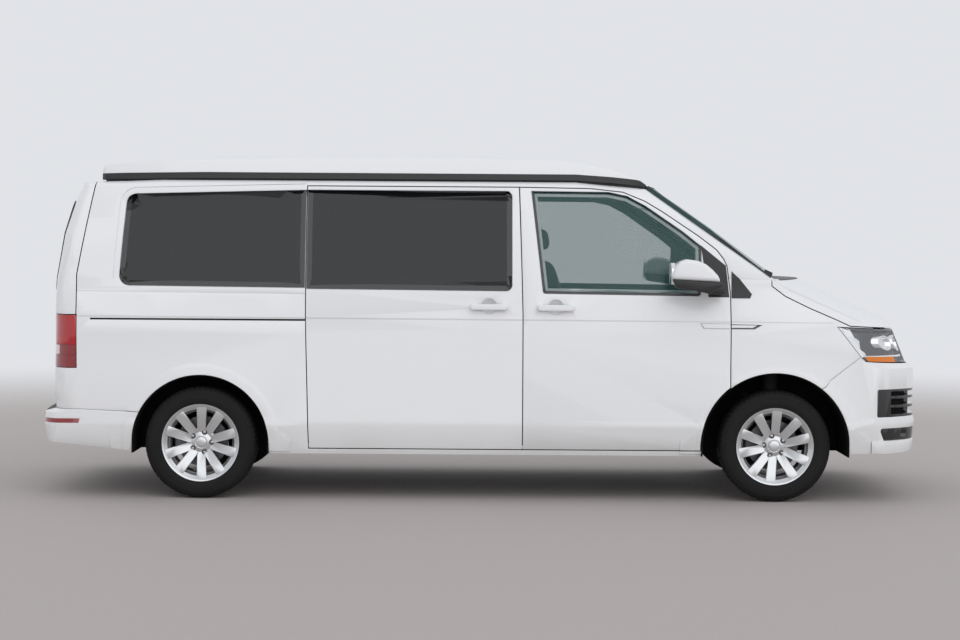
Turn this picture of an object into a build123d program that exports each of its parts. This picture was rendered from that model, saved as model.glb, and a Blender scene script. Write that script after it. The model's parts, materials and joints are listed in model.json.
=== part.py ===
"""Long-wheelbase camper van with a closed rising roof, as an assembly of its real pieces.

The frame is +X forwards, +Y to the van's left, +Z up, in millimetres. The origin is on the
ground, under the middle of the van. One body form, set in by different depths, gives every
panel, pane and seal, and side-view outlines cut it where the real panels meet.
"""

import math
import os

from build123d import *

os.makedirs("parts", exist_ok=True)

# Driving sizes of the whole van
LENGTH = 5304.0
WHEELBASE = 3400.0
FRONT_OVERHANG = 908.0
TRACK = 1628.0
NOSE_X = LENGTH / 2
TAIL_X = -LENGTH / 2
FRONT_AXLE_X = NOSE_X - FRONT_OVERHANG
REAR_AXLE_X = FRONT_AXLE_X - WHEELBASE
FAR = 1300.0

# Thicknesses and gaps
WALL = 52.0
SEAT = 0.3
DOOR_GAP = 6.0
LAMP_GAP = 4.0
GLASS_INSET = 3.0
GLASS_T = 6.0
GLASS_EDGE = 3.0
FLANGE = 30.0
RECESS = GLASS_INSET + GLASS_T + SEAT
LAMP_DEPTH = 40.0
REBATE = 12.0
SEAL_T = 8.0
SEAL_OUT = 18.0
SEAL_IN = 24.0

# Heights of the body's lines above the ground
SILL_Z = 270.0
CREASE_Z = 1080.0
GUTTER_Z = 1860.0
ROOF_EDGE_Z = 1888.0
ROOF_TOP_Z = 1892.0
COWL_Z = 1320.0

# The cross-section's corners up to the belt, as (half width, height)
SECTION = [
    (900, SILL_Z),
    (945, 440),
    (937, 478),
    (947, 975),
    (936, CREASE_Z),
    (926, 1245),
]
TUMBLE_MID = (884, 1560)
GUTTER_HALF = 803.0
ROOF_EDGE_HALF = 745.0
GUTTER_BULGE = 5.0

# Stations along the van: (x, how much narrower above the crease, how much lower the roof)
STATIONS = [
    (-2900, 45, 36),
    (-1900, 14, 0),
    (-1200, 0, 0),
    (300, 0, 0),
    (560, 8, 0),
    (1000, 24, 40),
    (2900, 85, 40),
]

# The nose in plan at each height, and the tail: (height, x of the middle[, half width])
NOSE_LEVELS = [
    (150, 2596),
    (330, 2640),
    (440, NOSE_X),
    (484, 2643),
    (790, 2643),
    (822, 2606),
    (1018, 2542),
    (1056, 2524),
    (1086, 2494),
    (1950, 2494),
]
TAIL_LEVELS = [
    (150, -2596, 962),
    (330, -2636, 962),
    (430, TAIL_X, 962),
    (508, -2644, 962),
    (524, -2582, 962),
    (1085, -2570, 958),
    (1300, -2556, 934),
    (1560, -2516, 896),
    (1760, -2458, 848),
    (1950, -2382, 790),
]
PLAN_HALF = 962.0
NOSE_BOW = 90.0
NOSE_BOW_HALF = 680.0
NOSE_CORNER = 365.0
TAIL_BOW = 28.0
TAIL_CORNER = 170.0

# Windscreen: a sheet bent one way, through the middle of its base and of its top
SCREEN_BASE = (1838.0, 1320.0)
SCREEN_TOP = (1044.0, 1858.0)
SCREEN_BEND_R = 5600.0
SCREEN_GLASS_BASE_X = 1822.0
SCREEN_GLASS_TOP_X = 1035.0
SCREEN_GLASS_CORNERS = [(1706, 800), (975, 655)]

# Bonnet: the middle of its rear edge, its slope, its crown and its shoulders
BONNET_REAR = (1990.0, 1315.0)
BONNET_SLOPE = 0.44
BONNET_CROWN_HALF = 800.0
BONNET_CROWN = 95.0
BONNET_SHOULDER = (942.0, 215.0)
BONNET_REAR_CORNER = (1722.0, 862.0)

# Flares round the wheel openings: half width at the lip, lip's height, and where they run out
FLARE_HALF = 952.0
FLARE_LIP = 20.0
FLARE_RUN = 125.0
FLARE_ROOT = 928.0
FLARE_BOTTOM = 284.0
FLARE_PROUD = 9.0

# Grooves along the seams of fixed panels
SEAM_W = 4.0

# Side-view outlines of panels, as (x, z)
DOOR_SIDE = [
    (252, 305), (250, 1100), (241, 1400), (226, 1852), (647, 1847), (838, 1827), (966, 1775),
    (1071, 1712), (1283, 1570), (1389, 1489), (1430, 1436), (1449, 1395), (1470, 1232),
    (1471, 640), (1300, 305),
]
SLIDING_SIDE = [
    (-1013, 305), (-1033, 1100), (-1033, 1852), (219, 1852), (235, 1400), (244, 1100), (246, 305),
]
BONNET_SIDE = [
    (1660, 1600), (1660, 1328), (1799, 1223), (1942, 1153), (2107, 1083), (2178, 1050),
    (2520, 1029), (2760, 1024), (2760, 1600),
]
LAMP_SIDE = [
    (2106, 1040), (2516, 1020), (2760, 1012), (2760, 818), (2570, 823), (2272, 841), (2238, 873),
]
BUMPER_SIDE = [
    (1960, 640), (2040, 690), (2066, 727), (2234, 860), (2270, 836), (2570, 817), (2760, 812),
    (2760, 200), (1960, 200),
]
FENDER_SIDE = [
    (1440, 420), (1440, COWL_Z - SEAT), (2320, COWL_Z - SEAT), (2320, 840), (2040, 640), (1900, 420),
]
TAILGATE_SIDE = [
    (-2760, 1088), (-2395, 1088), (-2395, 1322), (-2302, 1863), (-2302, 2100), (-2760, 2100),
]
REAR_BUMPER_SIDE = [
    (-2760, 150), (-2760, 527), (-2386, 527), (-2000, 511), (-2000, 150),
]

# Side-view outlines of the panes, as (x, z)
DOOR_PANE = [
    (295, 1830), (366, 1228), (1296, 1219), (1300, 1510), (1186, 1600), (970, 1748), (862, 1805),
    (752, 1828),
]
SLIDING_PANE = [(-1031, 1829), (-1031, 1247), (181, 1241), (178, 1829)]
QUARTER_PANE = [(-1041, 1828), (-1041, 1253), (-2142, 1260), (-2103, 1799)]
QUARTER_CORNER_R = 60.0
PANE_CORNER_R = 36.0
REAR_PANE = [(-690, 1200), (690, 1200), (640, 1760), (-640, 1760)]
TAILGATE_HALF = 775.0
TAILGATE_BOTTOM = 533.0
TAILGATE_TOP_Z = 1088.0
PLATE_RECESS = (290.0, 790.0, 960.0)
TAILGATE_GRIP = (190.0, 925.0, 945.0)
GRILLE_HALF = 598.0
TAIL_LAMP_X = -2391.0
TAIL_LAMP_Z = (774.0, 1082.0)
TAIL_LAMP_IN = 784.0
TAIL_LAMP_LINES = (848.0, 905.0)
ROOF_SEAM = 747.0
DOOR_IN = 715.0
COWL_HALF = 755.0
ROOF_HOLE = (-1900.0, 560.0, 520.0)

# Wheels, given across the wheel from its middle plane, outwards
TYRE_R = 330.0
TYRE_W = 214.0
FLANGE_R = 222.0
BEAD_R = 204.0
WELL_R = 190.0
RIM_T = 6.0
RIM_W = 196.0
WHEEL_Y = TRACK / 2
SPOKES = 10
LUGS = 5
SPOKE_W = 50.0
PAIR_ANGLE = 33.0
HUB_R = 82.0
HUB_W = (30.0, 62.0)
LUG_CIRCLE_R = 60.0
LUG_HOLE_R = 7.5
SPINDLE_R = 26.0
DISC_R = 150.0
DISC_W = (-36.0, -12.0)
FRONT_ARCH_R = 438.0
REAR_ARCH_R = 405.0
LINER_T = 8.0
FRONT_WELL_Y = 505.0
REAR_WELL_Y = 600.0
WELL_OUT_Y = 930.0
KINGPIN_Y = 690.0

# Floor and what hangs below it
FLOOR_TOP = 470.0
FLOOR_T = 30.0
FLOOR_HALF = 828.0
SILL_IN_Y = 830.0
BULKHEAD_X = (1600.0, 1640.0)
BULKHEAD_TOP = 1160.0
RAIL_Y = 410.0
RAIL_W = 60.0
RAIL_H = 80.0
OUTRIGGER_Y = 780.0
OUTRIGGERS = (-2250, -1150, -300, 600, 1200)
BEAM_R = 40.0
PIPE_R = 28.0


def cross_section(x, narrow, drop, inset):
    """Closed outline of the body across the van at one station."""
    rise = [(h - inset - (narrow if z > CREASE_Z else 0), z) for h, z in SECTION]
    rise[0] = (rise[0][0], SILL_Z + inset)
    tumble_mid = (TUMBLE_MID[0] - inset - narrow, TUMBLE_MID[1])
    gutter = (GUTTER_HALF - inset - narrow, GUTTER_Z - drop - inset / 2)
    edge = (ROOF_EDGE_HALF - inset - narrow, ROOF_EDGE_Z - drop - inset)
    gutter_mid = ((gutter[0] + edge[0]) / 2 + 3, (gutter[1] + edge[1]) / 2 + GUTTER_BULGE)
    crown = (0, ROOF_TOP_Z - drop - inset)
    with BuildSketch(Plane.YZ.offset(x)) as outline:
        with BuildLine():
            Polyline((0, SILL_Z + inset), *rise)
            ThreePointArc(rise[-1], tumble_mid, gutter)
            ThreePointArc(gutter, gutter_mid, edge)
            Line(edge, crown)
            mirror(about=Plane.YZ)
        make_face()
    return outline.sketch


def nose_section(z, front_x, inset):
    """Plan outline that gives the nose its bow and its rounded corners at one height."""
    tip = front_x - inset
    side = PLAN_HALF - inset
    bow_end = (tip - NOSE_BOW, NOSE_BOW_HALF)
    corner_x = bow_end[0] - NOSE_CORNER
    with BuildSketch(Plane.XY.offset(z)) as outline:
        with BuildLine():
            bow = ThreePointArc((bow_end[0], -bow_end[1]), (tip, 0), bow_end)
            TangentArc(bow_end, (corner_x, side), tangent=bow % 1)
            Polyline((corner_x, side), (-3600, side), (-3600, -side), (corner_x, -side))
            TangentArc(bow @ 0, (corner_x, -side), tangent=(bow % 0) * -1)
        make_face()
    return outline.sketch


def tail_section(z, rear_x, half, inset):
    """Plan outline that gives the tail its slight bow and rounded corners at one height."""
    tip = rear_x + inset
    side = half - inset
    bow_end = (tip + TAIL_BOW, side - TAIL_CORNER)
    corner_x = bow_end[0] + TAIL_CORNER
    with BuildSketch(Plane.XY.offset(z)) as outline:
        with BuildLine():
            bow = ThreePointArc((bow_end[0], -bow_end[1]), (tip, 0), bow_end)
            TangentArc(bow_end, (corner_x, side), tangent=bow % 1)
            Polyline((corner_x, side), (3600, side + 150), (3600, -side - 150), (corner_x, -side))
            TangentArc(bow @ 0, (corner_x, -side), tangent=(bow % 0) * -1)
        make_face()
    return outline.sketch


def falling_solid(point, slope, inset, draw):
    """Runs an outline along a line that falls forwards, which gives a surface bent one way."""
    normal = Vector(slope, 0, 1).normalized()
    origin = Vector(point[0], 0, point[1]) - normal * inset
    plane = Plane(origin=origin, x_dir=(0, 1, 0), z_dir=Vector(1, 0, -slope).normalized())
    with BuildPart() as solid:
        with BuildSketch(plane):
            with BuildLine():
                draw(1 if plane.y_dir.Z > 0 else -1)
            make_face()
        extrude(amount=5200, both=True)
    return solid.part


def draw_screen(up):
    """The windscreen's bend, with everything behind it."""
    half = 1400.0
    fall = -up * (SCREEN_BEND_R - math.sqrt(SCREEN_BEND_R**2 - half**2))
    deep = -up * 3600.0
    ThreePointArc((-half, fall), (0, 0), (half, fall))
    Polyline((half, fall), (half, deep), (-half, deep), (-half, fall))


def draw_bonnet(up):
    """The bonnet's crown and shoulders, with everything below them."""
    crown = (BONNET_CROWN_HALF, -up * BONNET_CROWN)
    shoulder = (BONNET_SHOULDER[0], -up * BONNET_SHOULDER[1])
    deep = -up * 3000.0
    top = ThreePointArc((-crown[0], crown[1]), (0, 0), crown)
    TangentArc(crown, shoulder, tangent=top % 1)
    TangentArc((-crown[0], crown[1]), (-shoulder[0], shoulder[1]), tangent=(top % 0) * -1)
    Polyline(shoulder, (1100, shoulder[1] * 3), (1100, deep), (0, deep))
    Polyline((-shoulder[0], shoulder[1]), (-1100, shoulder[1] * 3), (-1100, deep), (0, deep))


def body_form(inset):
    """The closed form of the whole body, moved in by the inset all round."""
    screen_slope = (SCREEN_BASE[1] - SCREEN_TOP[1]) / (SCREEN_TOP[0] - SCREEN_BASE[0])
    cabin = falling_solid(SCREEN_BASE, screen_slope, inset, draw_screen)
    nose = falling_solid(BONNET_REAR, BONNET_SLOPE, inset, draw_bonnet)
    with BuildPart() as upper:
        add(nose)
        with Locations((0, 0, COWL_Z - inset)):
            Box(9000, 3000, 4000, align=(Align.CENTER, Align.CENTER, Align.MAX), mode=Mode.INTERSECT)
        add(cabin)
    with BuildPart() as front:
        for z, x in NOSE_LEVELS:
            add(nose_section(z, x, inset))
        loft(ruled=True)
    with BuildPart() as rear:
        for z, x, half in TAIL_LEVELS:
            add(tail_section(z, x, half, inset))
        loft(ruled=True)
    with BuildPart() as form:
        for x, narrow, drop in STATIONS:
            add(cross_section(x, narrow, drop, inset))
        loft(ruled=True)
        add(front.part, mode=Mode.INTERSECT)
        add(rear.part, mode=Mode.INTERSECT)
        add(upper.part, mode=Mode.INTERSECT)
    return form.part


def layer(outside, inside):
    """What lies between two body forms, one inside the other."""
    with BuildPart() as skin:
        add(outside)
        add(inside, mode=Mode.SUBTRACT)
    return skin.part


def common(body, *cutters):
    """What one solid shares with every cutter."""
    with BuildPart() as shared:
        add(body)
        for cutter in cutters:
            add(cutter, mode=Mode.INTERSECT)
    return shared.part


def side_prism(points, near=-FAR, far=FAR, grow=0.0, corner=0.0, corners=()):
    """Runs a side-view outline across the van, between two distances to the right."""
    with BuildPart() as prism:
        with BuildSketch(Plane.XZ.offset(near)) as outline:
            Polygon(*points)
            if corner:
                chosen = [
                    v for v in outline.vertices()
                    if any(math.hypot(v.X - points[i][0], v.Y - points[i][1]) < 1 for i in corners)
                ]
                fillet(chosen, radius=corner)
            if grow:
                offset(amount=grow, kind=Kind.INTERSECTION)
        extrude(amount=far - near)
    return prism.part


def block(x, y, z):
    """A plain box between two values along each axis."""
    with BuildPart() as box:
        with BuildSketch(Plane.XY.offset(z[0])):
            Polygon((x[0], y[0]), (x[1], y[0]), (x[1], y[1]), (x[0], y[1]))
        extrude(amount=z[1] - z[0])
    return box.part


def across(x, z, radius, near, far):
    """A cylinder across the van, between two distances to the right."""
    with BuildPart() as cylinder:
        with BuildSketch(Plane.XZ.offset(near)):
            with Locations((x, z)):
                Circle(radius)
        extrude(amount=far - near)
    return cylinder.part


def arches(grow, near=FRONT_WELL_Y):
    """The four wheel openings, as cylinders through the body's sides."""
    with BuildPart() as cylinders:
        for x, radius in ((FRONT_AXLE_X, FRONT_ARCH_R), (REAR_AXLE_X, REAR_ARCH_R)):
            for side in (-1, 1):
                span = sorted((side * near, side * FAR))
                add(across(x, TYRE_R, radius + grow, *span))
    return cylinders.part


def bonnet_plan(grow=0.0):
    """Everything ahead of the curved line along which the bonnet starts."""
    x, y = BONNET_REAR_CORNER
    with BuildPart() as zone:
        with BuildSketch(Plane.XY.offset(100)):
            with BuildLine():
                ThreePointArc((x, -y), (BONNET_REAR[0] - 5, 0), (x, y))
                Polyline((x, y), (x, FAR), (2900, FAR), (2900, -FAR), (x, -FAR), (x, -y))
            make_face()
            if grow:
                offset(amount=grow, kind=Kind.INTERSECTION)
        extrude(amount=1700)
    return zone.part


def screen_plan(shrink=0.0):
    """The windscreen's pane in plan, as a tall solid."""
    (base_x, base_y), (top_x, top_y) = SCREEN_GLASS_CORNERS
    with BuildPart() as zone:
        with BuildSketch(Plane.XY.offset(1300)):
            with BuildLine():
                ThreePointArc((base_x, -base_y), (SCREEN_GLASS_BASE_X, 0), (base_x, base_y))
                Line((base_x, base_y), (top_x, top_y))
                ThreePointArc((top_x, top_y), (SCREEN_GLASS_TOP_X, 0), (top_x, -top_y))
                Line((top_x, -top_y), (base_x, -base_y))
            make_face()
            if shrink:
                offset(amount=-shrink, kind=Kind.INTERSECTION)
        extrude(amount=700)
    return zone.part


def rear_prism(points, grow=0.0):
    """Runs a rear-view outline through the tail."""
    with BuildPart() as prism:
        with BuildSketch(Plane.YZ.offset(-2800)):
            Polygon(*points)
            fillet(vertices(), radius=70)
            if grow:
                offset(amount=grow, kind=Kind.INTERSECTION)
        extrude(amount=700)
    return prism.part


def flares():
    """The swollen rims of the four wheel openings."""
    with BuildPart() as rings:
        for x, radius in ((FRONT_AXLE_X, FRONT_ARCH_R), (REAR_AXLE_X, REAR_ARCH_R)):
            with BuildSketch(Plane(origin=(x, 0, TYRE_R), x_dir=(0, 0, 1), z_dir=(1, 0, 0))):
                Polygon(
                    (radius - 8, FLARE_ROOT - WALL + 20), (radius - 8, FLARE_HALF),
                    (radius + FLARE_LIP, FLARE_HALF), (radius + FLARE_RUN, FLARE_ROOT),
                    (radius + FLARE_RUN, FLARE_ROOT - WALL + 20),
                )
            revolve(axis=Axis((x, 0, TYRE_R), (0, 1, 0)))
        mirror(about=Plane.XZ)
        add(block((-2800, 2800), (-FAR, FAR), (-400, FLARE_BOTTOM)), mode=Mode.SUBTRACT)
        add(body_form(-FLARE_PROUD), mode=Mode.INTERSECT)
    return rings.part


# The body forms at each depth, and the layers between them
outer_form = body_form(0.0)
inner_form = body_form(WALL)
recess_form = body_form(RECESS)
back_form = body_form(LAMP_DEPTH)
glass_form = body_form(GLASS_INSET)
with BuildPart() as flared_form:
    add(outer_form)
    add(flares())
shell = layer(flared_form.part, inner_form)
glass_skin = layer(glass_form, body_form(GLASS_INSET + GLASS_T))
seal_skin = layer(body_form(WALL + SEAT), body_form(WALL + SEAT + SEAL_T))

right_half = block((-2800, 2800), (-FAR, 0), (0, 2200))
nose_half = block((1430, 2800), (-FAR, FAR), (0, 1500))
tail_half = block((-2800, -1990), (-FAR, FAR), (0, 2200))
shell_right = common(shell, right_half)
shell_nose = common(shell, nose_half)
shell_tail = common(shell, tail_half)
glass_right = common(glass_skin, right_half)
recess_right = common(recess_form, right_half)

door_hole = side_prism(DOOR_SIDE, DOOR_IN, FAR, grow=DOOR_GAP)
sliding_hole = side_prism(SLIDING_SIDE, DOOR_IN, FAR, grow=DOOR_GAP)
arch_cut = arches(SEAT)
tail_x = (-2800, -2399)
tailgate_low = block(tail_x, (-TAILGATE_HALF, TAILGATE_HALF), (TAILGATE_BOTTOM, TAILGATE_TOP_Z + 40))
tailgate_low_hole = block(
    (tail_x[0], tail_x[1] + DOOR_GAP),
    (-TAILGATE_HALF - DOOR_GAP, TAILGATE_HALF + DOOR_GAP),
    (TAILGATE_BOTTOM - DOOR_GAP, TAILGATE_TOP_Z + 40),
)
bonnet_zone = common(side_prism(BONNET_SIDE), bonnet_plan())
bonnet_hole = common(side_prism(BONNET_SIDE, grow=DOOR_GAP), bonnet_plan(grow=DOOR_GAP))


def pane_cutters(points, near, far, corner, corners):
    """The pane's prism, the pocket that it lies in and the hole through the panel behind it."""
    pane = side_prism(points, near, far, corner=corner, corners=corners)
    pocket = side_prism(points, near, far, grow=GLASS_EDGE, corner=corner, corners=corners)
    hole = side_prism(points, near, far, grow=-FLANGE, corner=corner, corners=corners)
    return pane, layer(pocket, recess_right), hole


door_pane = pane_cutters(DOOR_PANE, 500, FAR, 16, (1, 2))
sliding_pane = pane_cutters(SLIDING_PANE, 500, FAR, PANE_CORNER_R, (2, 3))
quarter_pane = pane_cutters(QUARTER_PANE, 500, FAR, QUARTER_CORNER_R, (2, 3))
screen_pocket = layer(screen_plan(shrink=-GLASS_EDGE), recess_form)
screen_hole = screen_plan(shrink=FLANGE)

# The seams pressed into the rear quarter: along the belt, and round the window
BELT_SEAM = [(-2388, 1226), (-1040, 1218), (-1040, 1214), (-2388, 1222)]
FRAME_GAP = 36.0
frame_zone = block((-2800, -1045), (-FAR, 0), (1300, 2000))
frame_line = common(layer(
    side_prism(QUARTER_PANE, 500, FAR, grow=FRAME_GAP + SEAM_W, corner=QUARTER_CORNER_R, corners=(2, 3)),
    side_prism(QUARTER_PANE, 500, FAR, grow=FRAME_GAP, corner=QUARTER_CORNER_R, corners=(2, 3)),
), frame_zone)

# The body side: sill, posts, rail over the doors and rear quarter, as one stamping
with BuildPart() as side_base:
    add(shell_right)
    with BuildSketch(Plane.XY.offset(150)):
        Polygon(
            (-2760, -FAR), (-2760, -ROOF_SEAM), (930, -ROOF_SEAM), (1000, -600), (1640, -600),
            (1640, -COWL_HALF), (1800, -COWL_HALF), (1800, -FAR),
        )
    extrude(amount=2000, mode=Mode.INTERSECT)
    add(block((-2800, 2800), (-SILL_IN_Y, 0), (100, 420)), mode=Mode.SUBTRACT)
    add(block((1440, 2800), (-FAR, 0), (100, COWL_Z)), mode=Mode.SUBTRACT)
    add(door_hole, mode=Mode.SUBTRACT)
    add(side_prism(TAILGATE_SIDE, grow=DOOR_GAP), mode=Mode.SUBTRACT)
    add(tailgate_low_hole, mode=Mode.SUBTRACT)
    add(side_prism(REAR_BUMPER_SIDE, grow=SEAT), mode=Mode.SUBTRACT)
    lamp_x = (-2800, TAIL_LAMP_X + LAMP_GAP)
    lamp_z = (TAIL_LAMP_Z[0] - LAMP_GAP, TAIL_LAMP_Z[1] + LAMP_GAP + 4)
    add(block(lamp_x, (-FAR, 0), lamp_z), mode=Mode.SUBTRACT)
    add(arch_cut, mode=Mode.SUBTRACT)
    add(screen_pocket, mode=Mode.SUBTRACT)
    add(screen_hole, mode=Mode.SUBTRACT)
    add(quarter_pane[1], mode=Mode.SUBTRACT)
    add(quarter_pane[2], mode=Mode.SUBTRACT)
    for seam in (side_prism(BELT_SEAM), side_prism(REAR_BUMPER_SIDE, grow=SEAM_W), frame_line):
        add(common(layer(seam, glass_form), right_half), mode=Mode.SUBTRACT)

with BuildPart() as side_right:
    add(side_base.part)
    add(sliding_hole, mode=Mode.SUBTRACT)
    add(block((-2305, -1036), (-FAR, -925), (1057, 1067)), mode=Mode.SUBTRACT)
side_right.part.label = "side_right"
export_step(side_right.part, "parts/side_right.step")

with BuildPart() as side_left:
    add(side_base.part)
    add(sliding_pane[1], mode=Mode.SUBTRACT)
    add(sliding_pane[2], mode=Mode.SUBTRACT)
    mirror(about=Plane.XZ, mode=Mode.REPLACE)
side_left.part.label = "side_left"
export_step(side_left.part, "parts/side_left.step")


# The roof, with the hole that opens under the rising roof
with BuildPart() as roof_shell:
    add(shell)
    with BuildSketch(Plane.XY.offset(1500)):
        Polygon(
            (-2296, -ROOF_SEAM + SEAT), (930, -ROOF_SEAM + SEAT), (1000, -600 + SEAT), (1120, -600 + SEAT),
            (1120, 600 - SEAT), (1000, 600 - SEAT), (930, ROOF_SEAM - SEAT), (-2296, ROOF_SEAM - SEAT),
        )
    extrude(amount=600, mode=Mode.INTERSECT)
    hole_back, hole_half, hole_front = ROOF_HOLE
    add(block((hole_back, hole_front), (-hole_half, hole_half), (1500, 2100)), mode=Mode.SUBTRACT)
    for hole in (door_hole, sliding_hole):
        add(hole, mode=Mode.SUBTRACT)
        mirror(hole, about=Plane.XZ, mode=Mode.SUBTRACT)
    add(screen_pocket, mode=Mode.SUBTRACT)
    add(screen_hole, mode=Mode.SUBTRACT)
roof_shell.part.label = "roof_shell"
export_step(roof_shell.part, "parts/roof_shell.step")

# The sliding door, which hangs in the right-hand side
with BuildPart() as sliding_door:
    add(shell_right)
    add(side_prism(SLIDING_SIDE, DOOR_IN, FAR), mode=Mode.INTERSECT)
    add(block((-2800, 2800), (-SILL_IN_Y, 0), (100, 420)), mode=Mode.SUBTRACT)
    add(sliding_pane[1], mode=Mode.SUBTRACT)
    add(sliding_pane[2], mode=Mode.SUBTRACT)


def handle(skin_y, x, z):
    """A pull handle that bridges a round cup in the door's skin."""
    middle = (x[0] + x[1]) / 2
    height = (z[0] + z[1]) / 2
    with BuildPart() as bar:
        with BuildSketch(Plane.XZ.offset(skin_y - 8)):
            with Locations((middle, height)):
                SlotOverall(x[1] - x[0], z[1] - z[0])
        extrude(amount=48)
        with BuildSketch(Plane.XZ.offset(skin_y - 8)):
            with Locations((middle, height)):
                Rectangle(x[1] - x[0] - 64, z[1] - z[0] + 10)
        extrude(amount=32, mode=Mode.SUBTRACT)
        fillet(bar.faces().sort_by(Axis.Y)[0].edges(), radius=7)
    return bar.part


def handle_cup(skin_y, x, z):
    """The round hollow behind a handle."""
    with BuildPart() as cup:
        with Locations(((x[0] + x[1]) / 2, -skin_y - 38, (z[0] + z[1]) / 2 + 6)):
            Sphere(62)
    return cup.part


SLIDING_HANDLE = (932.0, (-65, 156), (1128, 1164))
DOOR_HANDLE = (931.0, (333, 549), (1125, 1161))

with BuildPart() as sliding_finished:
    add(sliding_door.part)
    add(handle_cup(*SLIDING_HANDLE), mode=Mode.SUBTRACT)
    add(handle(*SLIDING_HANDLE))
sliding_finished.part.label = "sliding_door"
export_step(sliding_finished.part, "parts/sliding_door.step")

# The front doors, with the window frame and the cut round the wheel
with BuildPart() as door_right:
    add(shell_right)
    add(side_prism(DOOR_SIDE, DOOR_IN, FAR), mode=Mode.INTERSECT)
    add(arches(DOOR_GAP), mode=Mode.SUBTRACT)
    add(block((-2800, 2800), (-SILL_IN_Y, 0), (100, 420)), mode=Mode.SUBTRACT)
    add(door_pane[1], mode=Mode.SUBTRACT)
    add(door_pane[2], mode=Mode.SUBTRACT)
    rim = layer(
        side_prism(DOOR_SIDE, DOOR_IN, FAR, grow=5), side_prism(DOOR_SIDE, DOOR_IN, FAR, grow=-REBATE)
    )
    add(common(rim, recess_right), mode=Mode.SUBTRACT)
    add(handle_cup(*DOOR_HANDLE), mode=Mode.SUBTRACT)
    add(handle(*DOOR_HANDLE))
door_right.part.label = "door_right"
export_step(door_right.part, "parts/door_right.step")

with BuildPart() as door_left:
    mirror(door_right.part, about=Plane.XZ)
door_left.part.label = "door_left"
export_step(door_left.part, "parts/door_left.step")

# The panes of the front doors, of the sides, of the screen and of the tailgate
with BuildPart() as door_glass_right:
    add(glass_right)
    add(door_pane[0], mode=Mode.INTERSECT)
door_glass_right.part.label = "door_glass_right"
export_step(door_glass_right.part, "parts/door_glass_right.step")

with BuildPart() as door_glass_left:
    mirror(door_glass_right.part, about=Plane.XZ)
door_glass_left.part.label = "door_glass_left"
export_step(door_glass_left.part, "parts/door_glass_left.step")

with BuildPart() as side_windows:
    add(common(glass_right, sliding_pane[0]))
    add(common(glass_right, quarter_pane[0]))
    mirror(about=Plane.XZ)
side_windows.part.label = "side_windows"
export_step(side_windows.part, "parts/side_windows.step")

with BuildPart() as windscreen:
    add(glass_skin)
    add(screen_plan(), mode=Mode.INTERSECT)
windscreen.part.label = "windscreen"
export_step(windscreen.part, "parts/windscreen.step")

with BuildPart() as tailgate_glass:
    add(glass_skin)
    add(rear_prism(REAR_PANE), mode=Mode.INTERSECT)
tailgate_glass.part.label = "tailgate_glass"
export_step(tailgate_glass.part, "parts/tailgate_glass.step")

# The tailgate: full width above the lamps, between them below
with BuildPart() as tailgate:
    add(side_prism(TAILGATE_SIDE))
    add(tailgate_low)
    add(shell_tail, mode=Mode.INTERSECT)
    add(layer(rear_prism(REAR_PANE, grow=GLASS_EDGE), recess_form), mode=Mode.SUBTRACT)
    add(rear_prism(REAR_PANE, grow=-FLANGE), mode=Mode.SUBTRACT)
    half, low, high = PLATE_RECESS
    plate_zone = rear_prism([(-half, low), (half, low), (half - 14, high), (14 - half, high)])
    add(layer(plate_zone, recess_form), mode=Mode.SUBTRACT)
    half, low, high = TAILGATE_GRIP
    grip_zone = block((-2800, -2400), (-half, half), (low, high))
    add(layer(grip_zone, back_form), mode=Mode.SUBTRACT)
tailgate.part.label = "tailgate"
export_step(tailgate.part, "parts/tailgate.step")

# The lamps at the tail, one block on each side
with BuildPart() as tail_lamps:
    add(shell_tail)
    add(block((-2800, TAIL_LAMP_X), (-FAR, -TAIL_LAMP_IN), TAIL_LAMP_Z), mode=Mode.INTERSECT)
    for z in TAIL_LAMP_LINES:
        line = block((-2800, TAIL_LAMP_X + 10), (-FAR, 0), (z - SEAM_W / 2, z + SEAM_W / 2))
        add(layer(line, glass_form), mode=Mode.SUBTRACT)
    mirror(about=Plane.XZ)
tail_lamps.part.label = "tail_lamps"
export_step(tail_lamps.part, "parts/tail_lamps.step")

# The bumpers, wrapped round the corners to the wheel openings
with BuildPart() as rear_bumper:
    add(shell_tail)
    add(side_prism(REAR_BUMPER_SIDE), mode=Mode.INTERSECT)
    add(arch_cut, mode=Mode.SUBTRACT)
    add(block((-2560, -1900), (-870, 870), (100, 345)), mode=Mode.SUBTRACT)
    add(side_prism([(-2800, 335), (-2600, 335), (-2058, 283), (-1950, 283), (-1950, 100), (-2800, 100)]),
        mode=Mode.SUBTRACT)
rear_bumper.part.label = "rear_bumper"
export_step(rear_bumper.part, "parts/rear_bumper.step")

# Openings in the front bumper, wrapped round its corners, as (x, z)
LOWER_GRILLE_SIDE = [(2342, 487), (2342, 648), (2760, 648), (2760, 487)]
FOG_SIDE = [(2356, 400), (2384, 346), (2760, 346), (2760, 400)]
OPENING_CORNER_R = 12.0


def opening(points, grow=0.0):
    """A bumper opening's outline across the van, with its rear corners rounded."""
    return side_prism(points, grow=grow, corner=OPENING_CORNER_R, corners=(0, 1))


with BuildPart() as front_bumper:
    add(shell_nose)
    add(side_prism(BUMPER_SIDE), mode=Mode.INTERSECT)
    add(arch_cut, mode=Mode.SUBTRACT)
    add(block((1900, 2540), (-870, 870), (100, 345)), mode=Mode.SUBTRACT)
    add(side_prism([(2800, 335), (2600, 330), (2380, 295), (1950, 283), (1950, 100), (2800, 100)]),
        mode=Mode.SUBTRACT)
    add(opening(LOWER_GRILLE_SIDE), mode=Mode.SUBTRACT)
    add(opening(FOG_SIDE), mode=Mode.SUBTRACT)
front_bumper.part.label = "front_bumper"
export_step(front_bumper.part, "parts/front_bumper.step")

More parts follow.
